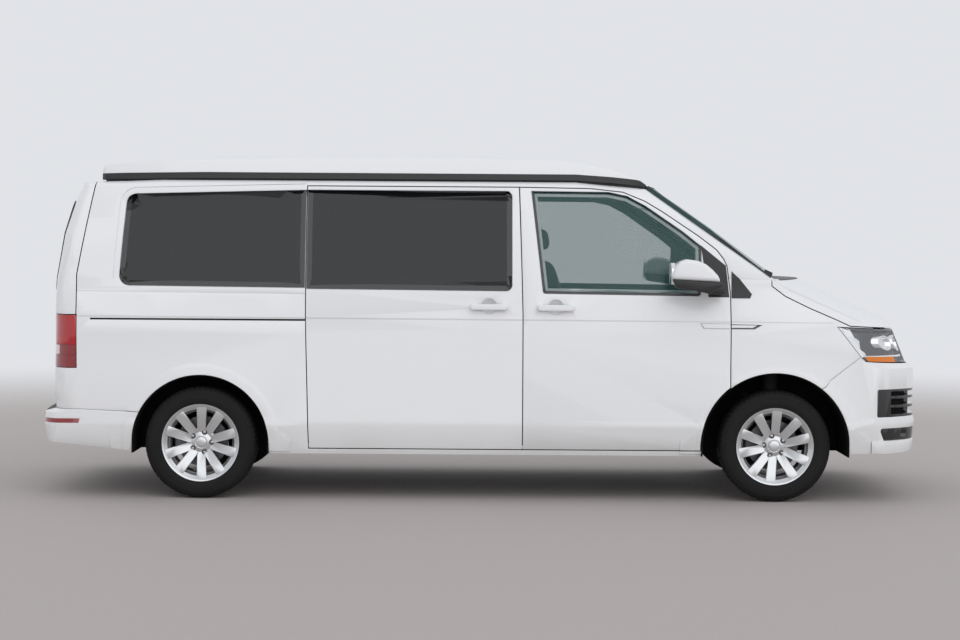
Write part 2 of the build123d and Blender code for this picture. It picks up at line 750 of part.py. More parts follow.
# The fenders, from the bonnet's edge down to the bumper and the wheel openings
with BuildPart() as fenders:
    add(shell_nose)
    add(side_prism(FENDER_SIDE, COWL_HALF + SEAT, FAR), mode=Mode.INTERSECT)
    add(side_prism(BUMPER_SIDE, grow=SEAT), mode=Mode.SUBTRACT)
    add(layer(side_prism(BUMPER_SIDE, grow=SEAM_W), glass_form), mode=Mode.SUBTRACT)
    add(side_prism(LAMP_SIDE, grow=LAMP_GAP), mode=Mode.SUBTRACT)
    add(bonnet_hole, mode=Mode.SUBTRACT)
    add(door_hole, mode=Mode.SUBTRACT)
    add(arch_cut, mode=Mode.SUBTRACT)
    mirror(about=Plane.XZ)
fenders.part.label = "fenders"
export_step(fenders.part, "parts/fenders.step")

# The bonnet and the black panel under the wipers
with BuildPart() as bonnet:
    add(shell_nose)
    add(bonnet_zone, mode=Mode.INTERSECT)
bonnet.part.label = "bonnet"
export_step(bonnet.part, "parts/bonnet.step")

with BuildPart() as cowl_panel:
    add(shell)
    add(block((1640 + SEAT, 2100), (-COWL_HALF + SEAT, COWL_HALF - SEAT), (1200, 1420)), mode=Mode.INTERSECT)
    add(bonnet_hole, mode=Mode.SUBTRACT)
    add(screen_pocket, mode=Mode.SUBTRACT)
    add(screen_hole, mode=Mode.SUBTRACT)
cowl_panel.part.label = "cowl_panel"
export_step(cowl_panel.part, "parts/cowl_panel.step")

# The headlamps, each a housing behind a clear lens
LAMP_WALL = 10.0
LAMP_BARRELS = [(705.0, 940.0, 48.0), (820.0, 945.0, 44.0)]
BARREL_WALL = 7.0
LIGHT_GUIDE = [(2126, 1036), (2170, 1034), (2262, 868), (2240, 862)]
LOWER_STRIP = [(2250, 872), (2600, 872), (2600, 862), (2250, 862)]
lamp_inside = layer(common(recess_form, nose_half), inner_form)
lamp_zone = side_prism(LAMP_SIDE, GRILLE_HALF + LAMP_GAP, FAR)
with BuildPart() as headlamp_lenses:
    add(glass_skin)
    add(lamp_zone, mode=Mode.INTERSECT)
    mirror(about=Plane.XZ)
headlamp_lenses.part.label = "headlamp_lenses"
export_step(headlamp_lenses.part, "parts/headlamp_lenses.step")

with BuildPart() as headlamps:
    add(common(shell_nose, recess_form))
    add(lamp_zone, mode=Mode.INTERSECT)
    bowl = side_prism(LAMP_SIDE, GRILLE_HALF + LAMP_GAP + LAMP_WALL, FAR, grow=-LAMP_WALL)
    add(layer(bowl, back_form), mode=Mode.SUBTRACT)
    for barrel_y, barrel_z, barrel_r in LAMP_BARRELS:
        with BuildSketch(Plane.YZ.offset(2150)):
            with Locations((-barrel_y, barrel_z)):
                Circle(barrel_r)
                Circle(barrel_r - BARREL_WALL, mode=Mode.SUBTRACT)
        add(common(extrude(amount=460, mode=Mode.PRIVATE), lamp_inside, lamp_zone))
    for strip in (LIGHT_GUIDE, LOWER_STRIP):
        add(common(side_prism(strip, GRILLE_HALF, FAR), lamp_inside, lamp_zone))
    mirror(about=Plane.XZ)
headlamps.part.label = "headlamps"
export_step(headlamps.part, "parts/headlamps.step")


# The grilles: a frame with three bars between the lamps, and below it the bumper's insert
# with its bars and the strip with the fog lamps, both wrapped round the corners
UPPER_GRILLE_Z = (812.0, 1019.0)
UPPER_FRAME = (16.0, 27.0, 14.0)
UPPER_BARS_Z = (868.0, 918.0, 968.0)
RIBS_Y = (-400, -200, 0, 200, 400)
LOWER_BARS_Z = (548.0, 600.0)
LOWER_MESH_X = 2424.0
LOWER_MESH_Z = (502.0, 634.0)
BAR_HALF = 8.0
RIB_HALF = 5.0
FOG_LAMP = (800.0, 373.0, 21.0)
FOG_LAMP_X = (2380.0, 2466.0)
grille_skin = layer(common(glass_form, nose_half), back_form)
with BuildPart() as upper_grille:
    side_w, low_w, top_w = UPPER_FRAME
    add(block((2200, 2800), (-GRILLE_HALF, GRILLE_HALF), UPPER_GRILLE_Z))
    add(block((2200, 2800), (-GRILLE_HALF + side_w, GRILLE_HALF - side_w),
              (UPPER_GRILLE_Z[0] + low_w, UPPER_GRILLE_Z[1] - top_w)), mode=Mode.SUBTRACT)
    for z in UPPER_BARS_Z:
        add(block((2200, 2800), (-GRILLE_HALF, GRILLE_HALF), (z - BAR_HALF, z + BAR_HALF)))
    rib_z = (UPPER_GRILLE_Z[0] + 20, UPPER_GRILLE_Z[1] - 5)
    for y in RIBS_Y:
        add(block((2200, 2800), (y - RIB_HALF, y + RIB_HALF), rib_z))
    add(side_prism(BUMPER_SIDE, grow=SEAT), mode=Mode.SUBTRACT)

with BuildPart() as lower_grille:
    add(opening(LOWER_GRILLE_SIDE, grow=-SEAT))
    add(block((LOWER_MESH_X, 2800), (-FAR, FAR), LOWER_MESH_Z), mode=Mode.SUBTRACT)
    for z in LOWER_BARS_Z:
        add(block((LOWER_MESH_X - 10, 2800), (-FAR, FAR), (z - BAR_HALF, z + BAR_HALF)))
    for y in RIBS_Y:
        add(block((2500, 2800), (y - RIB_HALF, y + RIB_HALF), (LOWER_MESH_Z[0] - 5, LOWER_MESH_Z[1] + 5)))

with BuildPart() as fog_strip:
    add(opening(FOG_SIDE, grow=-SEAT))
    add(grille_skin, mode=Mode.INTERSECT)
    lamp_y, lamp_z, lamp_r = FOG_LAMP
    for side in (-1, 1):
        with BuildSketch(Plane.YZ.offset(2300)):
            with Locations((side * lamp_y, lamp_z)):
                Circle(lamp_r)
        extrude(amount=500, mode=Mode.SUBTRACT)
        with BuildSketch(Plane.YZ.offset(FOG_LAMP_X[0])):
            with Locations((side * lamp_y, lamp_z)):
                Circle(lamp_r)
        extrude(amount=FOG_LAMP_X[1] - FOG_LAMP_X[0])

with BuildPart() as grilles:
    add(common(upper_grille.part, grille_skin))
    add(common(lower_grille.part, grille_skin))
    add(fog_strip.part)
grilles.part.label = "grilles"
export_step(grilles.part, "parts/grilles.step")

# The rising roof: (x, bottom, shoulder, top, half width) at each station
ROOF_STATIONS = [
    (-2258, 1886, 1940, 1960, 690),
    (-2238, 1887, 1972, 1992, 716),
    (-2120, 1890, 1985, 2008, 745),
    (-1650, 1898, 2006, 2036, 754),
    (-480, 1898, 2024, 2060, 756),
    (400, 1898, 2010, 2044, 754),
    (560, 1898, 2000, 2034, 750),
    (764, 1885, 1962, 1995, 742),
    (872, 1875, 1925, 1953, 726),
    (950, 1867, 1895, 1914, 700),
    (985, 1864, 1876, 1886, 668),
]
ROOF_SKIN = 24.0
ROOF_LEAN = 0.12
ROOF_BROW = 70.0
BAND_H = 36.0


def roof_section(x, bottom, shoulder, top, half, inset):
    """Closed outline of the rising roof at one station: upright sides, an arc and a crown."""
    low = bottom - 3 * inset
    edge = half - inset - (shoulder - bottom) * ROOF_LEAN
    brow = (edge - ROOF_BROW, shoulder + (top - shoulder) * 0.55 - inset)
    with BuildSketch(Plane.YZ.offset(x)) as outline:
        with BuildLine():
            Polyline((0, low), (half - inset, low), (edge, shoulder - inset))
            crown = ThreePointArc(brow, (0, top - inset), (-brow[0], brow[1]))
            TangentArc(brow, (edge, shoulder - inset), tangent=(crown % 0) * -1)
            TangentArc((-brow[0], brow[1]), (-edge, shoulder - inset), tangent=crown % 1)
            Polyline((-edge, shoulder - inset), (-half + inset, low), (0, low))
        make_face()
    return outline.sketch


def rising_form(inset):
    """The rising roof's form, moved in by the inset at its ends, sides and top."""
    back, front = ROOF_STATIONS[0][0], ROOF_STATIONS[-1][0]
    with BuildPart() as form:
        for x, bottom, shoulder, top, half in ROOF_STATIONS:
            along = (x - back) / (front - back)
            add(roof_section(x + inset * (1 - 2 * along), bottom, shoulder, top, half, inset))
        loft(ruled=True)
    return form.part


def rising_shell(inset):
    """The rising roof's form as a shell, open below."""
    return layer(rising_form(0.0), rising_form(inset))


# The rising roof's cap, and the dark band round its foot
band_line = [(x, bottom + BAND_H) for x, bottom, _, _, _ in ROOF_STATIONS]
below_band = [
    (-2400, 1700), (-2400, band_line[0][1]), *band_line[1:-1], (1100, band_line[-1][1]), (1100, 1700),
]
rising = rising_shell(ROOF_SKIN)
with BuildPart() as pop_top:
    add(rising)
    add(side_prism(below_band, grow=SEAT), mode=Mode.SUBTRACT)
pop_top.part.label = "pop_top"
export_step(pop_top.part, "parts/pop_top.step")

with BuildPart() as pop_top_band:
    add(rising)
    add(side_prism(below_band), mode=Mode.INTERSECT)
pop_top_band.part.label = "pop_top_band"
export_step(pop_top_band.part, "parts/pop_top_band.step")


def lip(prism_out, prism_in, *limits):
    """A seal: the layer just inside the panels, kept along the edge of an opening."""
    return common(seal_skin, layer(prism_out, prism_in), *limits)


def tail_opening(grow):
    """The tailgate's outline as a solid: full width above the lamps, between them below."""
    with BuildPart() as zone:
        add(side_prism(TAILGATE_SIDE, grow=grow))
        add(block(
            (-2800, tail_x[1] + grow), (-TAILGATE_HALF - grow, TAILGATE_HALF + grow),
            (TAILGATE_BOTTOM - grow, TAILGATE_TOP_Z + 60),
        ))
    return zone.part


def roof_lip():
    """The seal that the rising roof's foot rests on, down to the body's roof."""
    line = [(x, bottom - SEAT) for x, bottom, _, _, _ in ROOF_STATIONS]
    above = [(-2400, line[0][1]), *line, (1100, line[-1][1]), (1100, 2300), (-2400, 2300)]
    with BuildPart() as strip:
        add(layer(rising_form(6.0), rising_form(ROOF_SKIN - 4)))
        add(side_prism(above), mode=Mode.SUBTRACT)
        add(outer_form.moved(Location((0, 0, SEAT))), mode=Mode.SUBTRACT)
    return strip.part


# The seals behind the edge of each door and lid, and the one under the rising roof
under_floor = block((-2800, 2800), (-SILL_IN_Y, 0), (100, 420))
with BuildPart() as rubber_seals:
    for outline, limit, sides in ((DOOR_SIDE, 1440, 2), (SLIDING_SIDE, 2800, 1)):
        ring = lip(
            side_prism(outline, DOOR_IN, FAR, grow=SEAL_OUT),
            side_prism(outline, DOOR_IN, FAR, grow=-SEAL_IN),
            block((-2800, limit), (-FAR, 0), (315, 2000)),
        )
        trimmed = layer(layer(ring, arches(DOOR_GAP)), under_floor)
        add(trimmed)
        if sides == 2:
            mirror(trimmed, about=Plane.XZ)
    add(lip(tail_opening(SEAL_OUT), tail_opening(-SEAL_IN)))
    add(lip(
        side_prism(BONNET_SIDE, grow=SEAL_OUT), side_prism(BONNET_SIDE, grow=-SEAL_IN),
        block((1760, 2800), (-FAR, FAR), (900, 1270)),
    ))
    add(roof_lip())
rubber_seals.part.label = "rubber_seals"
export_step(rubber_seals.part, "parts/rubber_seals.step")

# The mirrors, on a foot that follows the door's skin
MIRROR_SIDE = [(1100, 1290), (1136, 1432), (1200, 1444), (1300, 1412), (1412, 1296), (1330, 1228)]
MIRROR_CORNER_R = 34.0
MIRROR_EDGE_R = 30.0
MIRROR_Y = (968.0, 1145.0)
MIRROR_FOOT = [(1290, 1236), (1440, 1236), (1430, 1290), (1300, 1296)]
with BuildPart() as mirror_right:
    with BuildSketch(Plane.XZ.offset(MIRROR_Y[0])) as outline:
        Polygon(*MIRROR_SIDE)
        fillet(outline.vertices(), radius=MIRROR_CORNER_R)
    extrude(amount=MIRROR_Y[1] - MIRROR_Y[0], taper=5)
    fillet(mirror_right.faces().sort_by(Axis.Y)[0].edges(), radius=MIRROR_EDGE_R)
    add(side_prism(MIRROR_FOOT, 850, MIRROR_Y[0] + 20))
    add(outer_form.moved(Location((0, -SEAT, 0))), mode=Mode.SUBTRACT)
mirror_right.part.label = "mirror_right"
export_step(mirror_right.part, "parts/mirror_right.step")

with BuildPart() as mirror_left:
    mirror(mirror_right.part, about=Plane.XZ)
mirror_left.part.label = "mirror_left"
export_step(mirror_left.part, "parts/mirror_left.step")

# The floor with its rails and the bulkhead ahead of the driver's feet
with BuildPart() as floor_pan:
    add(block((-2500, BULKHEAD_X[1]), (-FLOOR_HALF, FLOOR_HALF), (FLOOR_TOP - FLOOR_T, FLOOR_TOP)))
    add(block(BULKHEAD_X, (-FLOOR_HALF, FLOOR_HALF), (FLOOR_TOP - FLOOR_T, BULKHEAD_TOP)))
    for side in (-1, 1):
        middle = side * RAIL_Y
        rail_z = (FLOOR_TOP - FLOOR_T - RAIL_H, FLOOR_TOP - FLOOR_T)
        add(block((-2480, 2420), (middle - RAIL_W / 2, middle + RAIL_W / 2), rail_z))
        span = sorted((side * RAIL_Y, side * OUTRIGGER_Y))
        for x in OUTRIGGERS:
            add(block((x - 40, x + 40), span, (rail_z[0] + 25, rail_z[1])))
    add(arches(SEAT, FRONT_WELL_Y - LINER_T - SEAT), mode=Mode.SUBTRACT)
    add(across(REAR_AXLE_X, TYRE_R, BEAM_R + 20, -640, 640), mode=Mode.SUBTRACT)
floor_pan.part.label = "floor_pan"
export_step(floor_pan.part, "parts/floor_pan.step")

# The wheel housings: an arched sheet with a wall on its inner side, cut out round the axle
WELLS = [
    (FRONT_AXLE_X, FRONT_ARCH_R, FRONT_WELL_Y, 150, 620),
    (REAR_AXLE_X, REAR_ARCH_R, REAR_WELL_Y, 130, 480),
]


def housing(x, radius, near, slot_half, slot_top):
    """One wheel housing on the right-hand side."""
    with BuildPart() as sheet:
        add(across(x, TYRE_R, radius, near - LINER_T, WELL_OUT_Y))
        add(across(x, TYRE_R, radius - LINER_T, near, WELL_OUT_Y + 10), mode=Mode.SUBTRACT)
        add(block((x - 600, x + 600), (-FAR, 0), (-300, 320)), mode=Mode.SUBTRACT)
        add(block((x - slot_half, x + slot_half), (-near - 4, 0), (-300, slot_top)), mode=Mode.SUBTRACT)
    return sheet.part


with BuildPart() as wheel_liners:
    for well in WELLS:
        add(housing(*well))
    mirror(about=Plane.XZ)
wheel_liners.part.label = "wheel_liners"
export_step(wheel_liners.part, "parts/wheel_liners.step")

# The engine as one block, and the radiator behind the grilles
with BuildPart() as engine:
    add(block((1790, 2280), (-330, 330), (400, 1010)))
    fillet(engine.edges(), radius=40)
    add(block((1990, 2080), (-RAIL_Y - 20, RAIL_Y + 20), (FLOOR_TOP - FLOOR_T + SEAT, 490)))
engine.part.label = "engine"
export_step(engine.part, "parts/engine.step")

with BuildPart() as radiator:
    add(block((2424, 2464), (-378, 378), (470, 960)))
    for z in range(500, 940, 40):
        add(block((2464, 2470), (-350, 350), (z - 12, z + 12)))
    add(block((2300, 2424), (-RAIL_Y - 20, RAIL_Y + 20), (FLOOR_TOP - FLOOR_T + SEAT, 468)))
    add(block((2424, 2464), (-378, 378), (FLOOR_TOP - FLOOR_T + SEAT, 470)))
radiator.part.label = "radiator"
export_step(radiator.part, "parts/radiator.step")

# The front suspension: a cross member, lower arms and struts that carry the knuckles
ARM_TOP = 200.0
KNUCKLE_TOP = 460.0
STRUT_Y = 650.0
with BuildPart() as front_subframe:
    add(block((1600, 1890), (-440, 440), (ARM_TOP + 60, ARM_TOP + 160 - SEAT)))
    for side in (-1, 1):
        with BuildSketch(Plane.XY.offset(ARM_TOP - 20)):
            Polygon(
                (FRONT_AXLE_X - 130, side * 400), (FRONT_AXLE_X + 130, side * 400),
                (FRONT_AXLE_X + 34, side * 716), (FRONT_AXLE_X - 34, side * 716),
            )
        extrude(amount=20)
        add(block((1614, 1874), (min(side * 400, side * 440), max(side * 400, side * 440)),
                  (ARM_TOP - 20, ARM_TOP + 70)))
    for side in (-1, 1):
        with Locations((FRONT_AXLE_X, side * STRUT_Y, KNUCKLE_TOP + SEAT)):
            Cylinder(24, 120, align=(Align.CENTER, Align.CENTER, Align.MIN))
        with Locations((FRONT_AXLE_X, side * STRUT_Y, KNUCKLE_TOP + 120)):
            Cylinder(44, 175, align=(Align.CENTER, Align.CENTER, Align.MIN))
front_subframe.part.label = "front_subframe"
export_step(front_subframe.part, "parts/front_subframe.step")


def knuckle(side):
    """A steering knuckle: the upright on its kingpin, the strut's seat and the spindle."""
    with BuildPart() as upright:
        with BuildSketch(Plane.XY.offset(ARM_TOP + SEAT)):
            with Locations((FRONT_AXLE_X, side * KINGPIN_Y)):
                Circle(24)
        extrude(amount=KNUCKLE_TOP - ARM_TOP - SEAT)
        span = sorted((side * (STRUT_Y - 30), side * 712))
        add(block((FRONT_AXLE_X - 30, FRONT_AXLE_X + 30), span, (KNUCKLE_TOP - 30, KNUCKLE_TOP)))
        add(across(FRONT_AXLE_X, TYRE_R, 46, *sorted((-side * (KINGPIN_Y - 20), -side * 764))))
        add(across(FRONT_AXLE_X, TYRE_R, SPINDLE_R, *sorted((-side * KINGPIN_Y, -side * (WHEEL_Y + 54)))))
    return upright.part


def hub_plane(x, side):
    """The plane through a wheel's axis, its first axis forwards and its second one outwards."""
    return Plane(origin=(x, side * WHEEL_Y, TYRE_R), x_dir=(1, 0, 0), z_dir=(0, 0, side))


def face_plane(x, side, out):
    """The wheel's own plane, at a distance outwards from its middle."""
    return Plane(origin=(x, side * (WHEEL_Y + out), TYRE_R), x_dir=(1, 0, 0), z_dir=(0, side, 0))


# A tyre's section, as (radius, distance from its middle plane), for one half
TYRE_SIDE = [
    (BEAD_R + SEAT, TYRE_W / 2 - 30), (FLANGE_R + 2, TYRE_W / 2 - 16), (270, TYRE_W / 2),
    (312, TYRE_W / 2 - 9), (TYRE_R, TYRE_W / 2 - 32),
]
TYRE_INSIDE = [(302, TYRE_W / 2 - 34), (BEAD_R + SEAT, TYRE_W / 2 - 44)]


def tyre(x, side):
    """A tyre with rounded shoulders and bulged sides, open to the rim."""
    half = [*TYRE_SIDE[::-1], *TYRE_INSIDE[::-1]]
    with BuildPart() as rubber:
        with BuildSketch(hub_plane(x, side)):
            Polygon(*TYRE_SIDE, *[(r, -w) for r, w in half], *TYRE_INSIDE)
        revolve(axis=Axis((x, 0, TYRE_R), (0, 1, 0)))
    return rubber.part


def rim(x, side):
    """A cast wheel: the barrel, and ten spokes in five pairs between the wheel bolts."""
    edge = RIM_W / 2
    axis = Axis((x, 0, TYRE_R), (0, 1, 0))
    with BuildPart() as dish:
        with BuildSketch(hub_plane(x, side)):
            Polygon(
                (0, HUB_W[0]), (HUB_R, HUB_W[0]), (WELL_R + 4, 46), (BEAD_R - 3, 70), (BEAD_R - 3, edge - 6),
                (WELL_R - 4, edge - 12), (HUB_R, HUB_W[1]), (0, HUB_W[1]),
            )
        revolve(axis=axis)
    with BuildPart() as spokes:
        with BuildSketch(face_plane(x, side, 0)):
            Circle(HUB_R)
            for i in range(SPOKES):
                pair = 90 + 36 + 360 / LUGS * (i // 2)
                angle = pair + (PAIR_ANGLE / 2 if i % 2 else -PAIR_ANGLE / 2)
                with PolarLocations(0, 1, start_angle=angle):
                    with Locations((BEAD_R / 2, 0)):
                        Trapezoid(SPOKE_W + 12, BEAD_R, 88, rotation=90)
        extrude(amount=edge)
        add(dish.part, mode=Mode.INTERSECT)
    with BuildPart() as wheel:
        with BuildSketch(hub_plane(x, side)):
            Polygon(
                (FLANGE_R, edge), (FLANGE_R, edge - 7), (BEAD_R, edge - 10), (BEAD_R - 1, edge - 38),
                (WELL_R, edge - 52), (WELL_R, 40 - edge), (BEAD_R - 1, 26 - edge), (BEAD_R, 10 - edge),
                (FLANGE_R, 7 - edge), (FLANGE_R, -edge), (FLANGE_R - RIM_T, -edge),
                (BEAD_R - RIM_T, 4 - edge), (BEAD_R - RIM_T - 1, 28 - edge), (WELL_R - RIM_T, 42 - edge),
                (WELL_R - RIM_T, edge - 54), (BEAD_R - RIM_T - 1, edge - 40),
                (BEAD_R - RIM_T, edge - 6), (FLANGE_R - RIM_T, edge),
            )
        revolve(axis=axis)
        add(spokes.part)
        with BuildSketch(face_plane(x, side, HUB_W[0])):
            with PolarLocations(LUG_CIRCLE_R, LUGS, start_angle=90):
                Circle(LUG_HOLE_R)
            Circle(SPINDLE_R + SEAT)
        extrude(amount=HUB_W[1] - HUB_W[0] - 6, mode=Mode.SUBTRACT)
        with BuildSketch(face_plane(x, side, HUB_W[0] + 12)):
            with PolarLocations(LUG_CIRCLE_R, LUGS, start_angle=90):
                Circle(LUG_HOLE_R + 6)
        extrude(amount=60, mode=Mode.SUBTRACT)
    with BuildPart() as disc:
        with BuildSketch(hub_plane(x, side)):
            Polygon(
                (DISC_R, DISC_W[0]), (DISC_R, DISC_W[1]), (74, DISC_W[1]), (74, HUB_W[0] - SEAT),
                (SPINDLE_R + SEAT, HUB_W[0] - SEAT), (SPINDLE_R + SEAT, HUB_W[0] - 8), (66, HUB_W[0] - 8),
                (66, DISC_W[0]),
            )
        revolve(axis=axis)
    with BuildPart() as both:
        add(wheel.part)
        add(disc.part)
    return both.part


CORNERS = [
    ("front_right", FRONT_AXLE_X, -1),
    ("front_left", FRONT_AXLE_X, 1),
    ("rear_right", REAR_AXLE_X, -1),
    ("rear_left", REAR_AXLE_X, 1),
]
for corner_name, axle_x, corner_side in CORNERS:
    with BuildPart() as tyre_piece:
        add(tyre(axle_x, corner_side))
    tyre_piece.part.label = f"tyre_{corner_name}"
    export_step(tyre_piece.part, f"parts/tyre_{corner_name}.step")
    with BuildPart() as rim_piece:
        add(rim(axle_x, corner_side))
    rim_piece.part.label = f"rim_{corner_name}"
    export_step(rim_piece.part, f"parts/rim_{corner_name}.step")

for knuckle_name, knuckle_side in (("knuckle_right", -1), ("knuckle_left", 1)):
    with BuildPart() as knuckle_piece:
        add(knuckle(knuckle_side))
    knuckle_piece.part.label = knuckle_name
    export_step(knuckle_piece.part, f"parts/{knuckle_name}.step")

# The rear axle: a beam with trailing arms under the rails and a spindle at each end
with BuildPart() as rear_axle:
    add(across(REAR_AXLE_X, TYRE_R, BEAM_R, -640, 640))
    for side in (-1, 1):
        add(across(REAR_AXLE_X, TYRE_R, 46, *sorted((side * 640, side * 764))))
        add(across(REAR_AXLE_X, TYRE_R, SPINDLE_R, *sorted((side * 640, side * (WHEEL_Y + 54)))))
        span = sorted((side * (RAIL_Y - 25), side * (RAIL_Y + 25)))
        add(block((REAR_AXLE_X - 30, REAR_AXLE_X + 560), span, (300, FLOOR_TOP - FLOOR_T - RAIL_H - SEAT)))
rear_axle.part.label = "rear_axle"
export_step(rear_axle.part, "parts/rear_axle.step")

# What hangs under the floor: the exhaust on its left and the fuel tank
UNDER_Z = FLOOR_TOP - FLOOR_T - SEAT
with BuildPart() as exhaust:
    with BuildSketch(Plane.YZ.offset(-2420)):
        with Locations((250, UNDER_Z - 90)):
            Circle(90)
    extrude(amount=480)
    with BuildSketch(Plane.YZ.offset(-2500)):
        with Locations((250, UNDER_Z - PIPE_R - 6)):
            Circle(PIPE_R)
    extrude(amount=4000)
exhaust.part.label = "exhaust"
export_step(exhaust.part, "parts/exhaust.step")

with BuildPart() as fuel_tank:
    add(block((-1000, -100), (-370, 180), (250, UNDER_Z)))
    fillet(fuel_tank.edges().filter_by(Axis.Z), radius=50)
    fillet(fuel_tank.faces().sort_by(Axis.Z)[0].edges(), radius=30)
fuel_tank.part.label = "fuel_tank"
export_step(fuel_tank.part, "parts/fuel_tank.step")

# The cab's inside: dashboard, steering wheel and seats
DASH_BACK = BULKHEAD_X[0] - SEAT
DASH_SIDE = [
    (1330, 880), (1300, 1080), (1350, 1180), (1480, 1226), (1690, 1226),
    (1690, BULKHEAD_TOP + SEAT), (DASH_BACK, BULKHEAD_TOP + SEAT), (DASH_BACK, 900),
]
with BuildPart() as dashboard:
    add(side_prism(DASH_SIDE, -795, 795))
    fillet(dashboard.edges().filter_by(Axis.Y).group_by(Axis.X)[0], radius=30)
dashboard.part.label = "dashboard"
export_step(dashboard.part, "parts/dashboard.step")

STEERING_CENTRE = (1195.0, 430.0, 1120.0)
STEERING_R = 185.0
steering_plane = Plane(origin=STEERING_CENTRE, x_dir=(0, 1, 0), z_dir=(-0.82, 0, 0.57))
with BuildPart() as steering_wheel:
    with BuildSketch(Plane(origin=STEERING_CENTRE, x_dir=(0, 1, 0), z_dir=steering_plane.y_dir)):
        with Locations((STEERING_R, 0)):
            RegularPolygon(14, 8)
    revolve(axis=Axis(STEERING_CENTRE, steering_plane.z_dir))
    with BuildSketch(steering_plane):
        Circle(62)
        with PolarLocations(0, 3, start_angle=-90):
            with Locations((STEERING_R / 2, 0)):
                Rectangle(STEERING_R, 34)
    extrude(amount=9, both=True)
    with BuildSketch(steering_plane):
        Circle(34)
    extrude(amount=-330)
    add(side_prism(DASH_SIDE, -795, 795, grow=SEAT), mode=Mode.SUBTRACT)
    add(block((1340, 1700), (-900, 900), (600, 1180)), mode=Mode.SUBTRACT)
steering_wheel.part.label = "steering_wheel"
export_step(steering_wheel.part, "parts/steering_wheel.step")

SEAT_SIDE = [
    (1040, 905), (1030, 800), (980, 770), (980, FLOOR_TOP + SEAT), (580, FLOOR_TOP + SEAT), (580, 760),
    (480, 800), (400, 1090), (330, 1380), (345, 1440), (420, 1440), (440, 1400), (520, 1150),
    (590, 930), (640, 905), (760, 890),
]
HEADREST_SIDE = [(345, 1400), (305, 1590), (325, 1625), (390, 1620), (410, 1600), (420, 1400)]
SEAT_Y = 430.0
with BuildPart() as front_seats:
    add(side_prism(SEAT_SIDE, SEAT_Y - 240, SEAT_Y + 240))
    add(side_prism(HEADREST_SIDE, SEAT_Y - 135, SEAT_Y + 135))
    mirror(about=Plane.XZ)
front_seats.part.label = "front_seats"
export_step(front_seats.part, "parts/front_seats.step")

BENCH_SIDE = [
    (-620, 890), (-620, 800), (-660, 780), (-660, FLOOR_TOP + SEAT), (-1180, FLOOR_TOP + SEAT),
    (-1230, 900), (-1330, 1400), (-1320, 1560), (-1250, 1560), (-1210, 1400), (-1120, 920),
]
with BuildPart() as rear_bench:
    add(side_prism(BENCH_SIDE, -330, 570))
rear_bench.part.label = "rear_bench"
export_step(rear_bench.part, "parts/rear_bench.step")

with BuildPart() as kitchen_unit:
    add(block((-1150, 60), (470, 835), (FLOOR_TOP + SEAT, 1220)))
    for x in (-1110, -720, -330):
        add(block((x, x + 360), (465, 490), (560, 1180)), mode=Mode.SUBTRACT)
kitchen_unit.part.label = "kitchen_unit"
export_step(kitchen_unit.part, "parts/kitchen_unit.step")
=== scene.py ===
"""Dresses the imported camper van: paint, glass, lamps, wheels, mouldings, cab, living space and studio."""

import json
import math

import bpy
from mathutils import Matrix, Vector

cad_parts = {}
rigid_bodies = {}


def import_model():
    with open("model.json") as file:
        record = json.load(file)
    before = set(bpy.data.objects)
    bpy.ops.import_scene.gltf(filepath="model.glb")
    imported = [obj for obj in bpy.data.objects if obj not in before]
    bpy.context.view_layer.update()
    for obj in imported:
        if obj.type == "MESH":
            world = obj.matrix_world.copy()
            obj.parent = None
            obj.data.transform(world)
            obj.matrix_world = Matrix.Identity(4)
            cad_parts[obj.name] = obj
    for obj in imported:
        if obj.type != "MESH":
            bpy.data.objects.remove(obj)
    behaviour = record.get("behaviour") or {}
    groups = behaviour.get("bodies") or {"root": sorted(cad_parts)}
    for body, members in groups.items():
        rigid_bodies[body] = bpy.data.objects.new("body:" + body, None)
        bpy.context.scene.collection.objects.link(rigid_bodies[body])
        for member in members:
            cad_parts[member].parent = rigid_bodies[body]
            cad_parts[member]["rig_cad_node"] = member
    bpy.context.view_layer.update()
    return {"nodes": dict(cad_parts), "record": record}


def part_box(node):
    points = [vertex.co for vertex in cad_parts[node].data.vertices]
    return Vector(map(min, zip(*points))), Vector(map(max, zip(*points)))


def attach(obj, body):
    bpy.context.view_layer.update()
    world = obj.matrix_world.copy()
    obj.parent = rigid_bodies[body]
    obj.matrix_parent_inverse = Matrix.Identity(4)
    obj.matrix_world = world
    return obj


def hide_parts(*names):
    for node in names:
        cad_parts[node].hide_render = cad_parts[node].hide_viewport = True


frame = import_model()


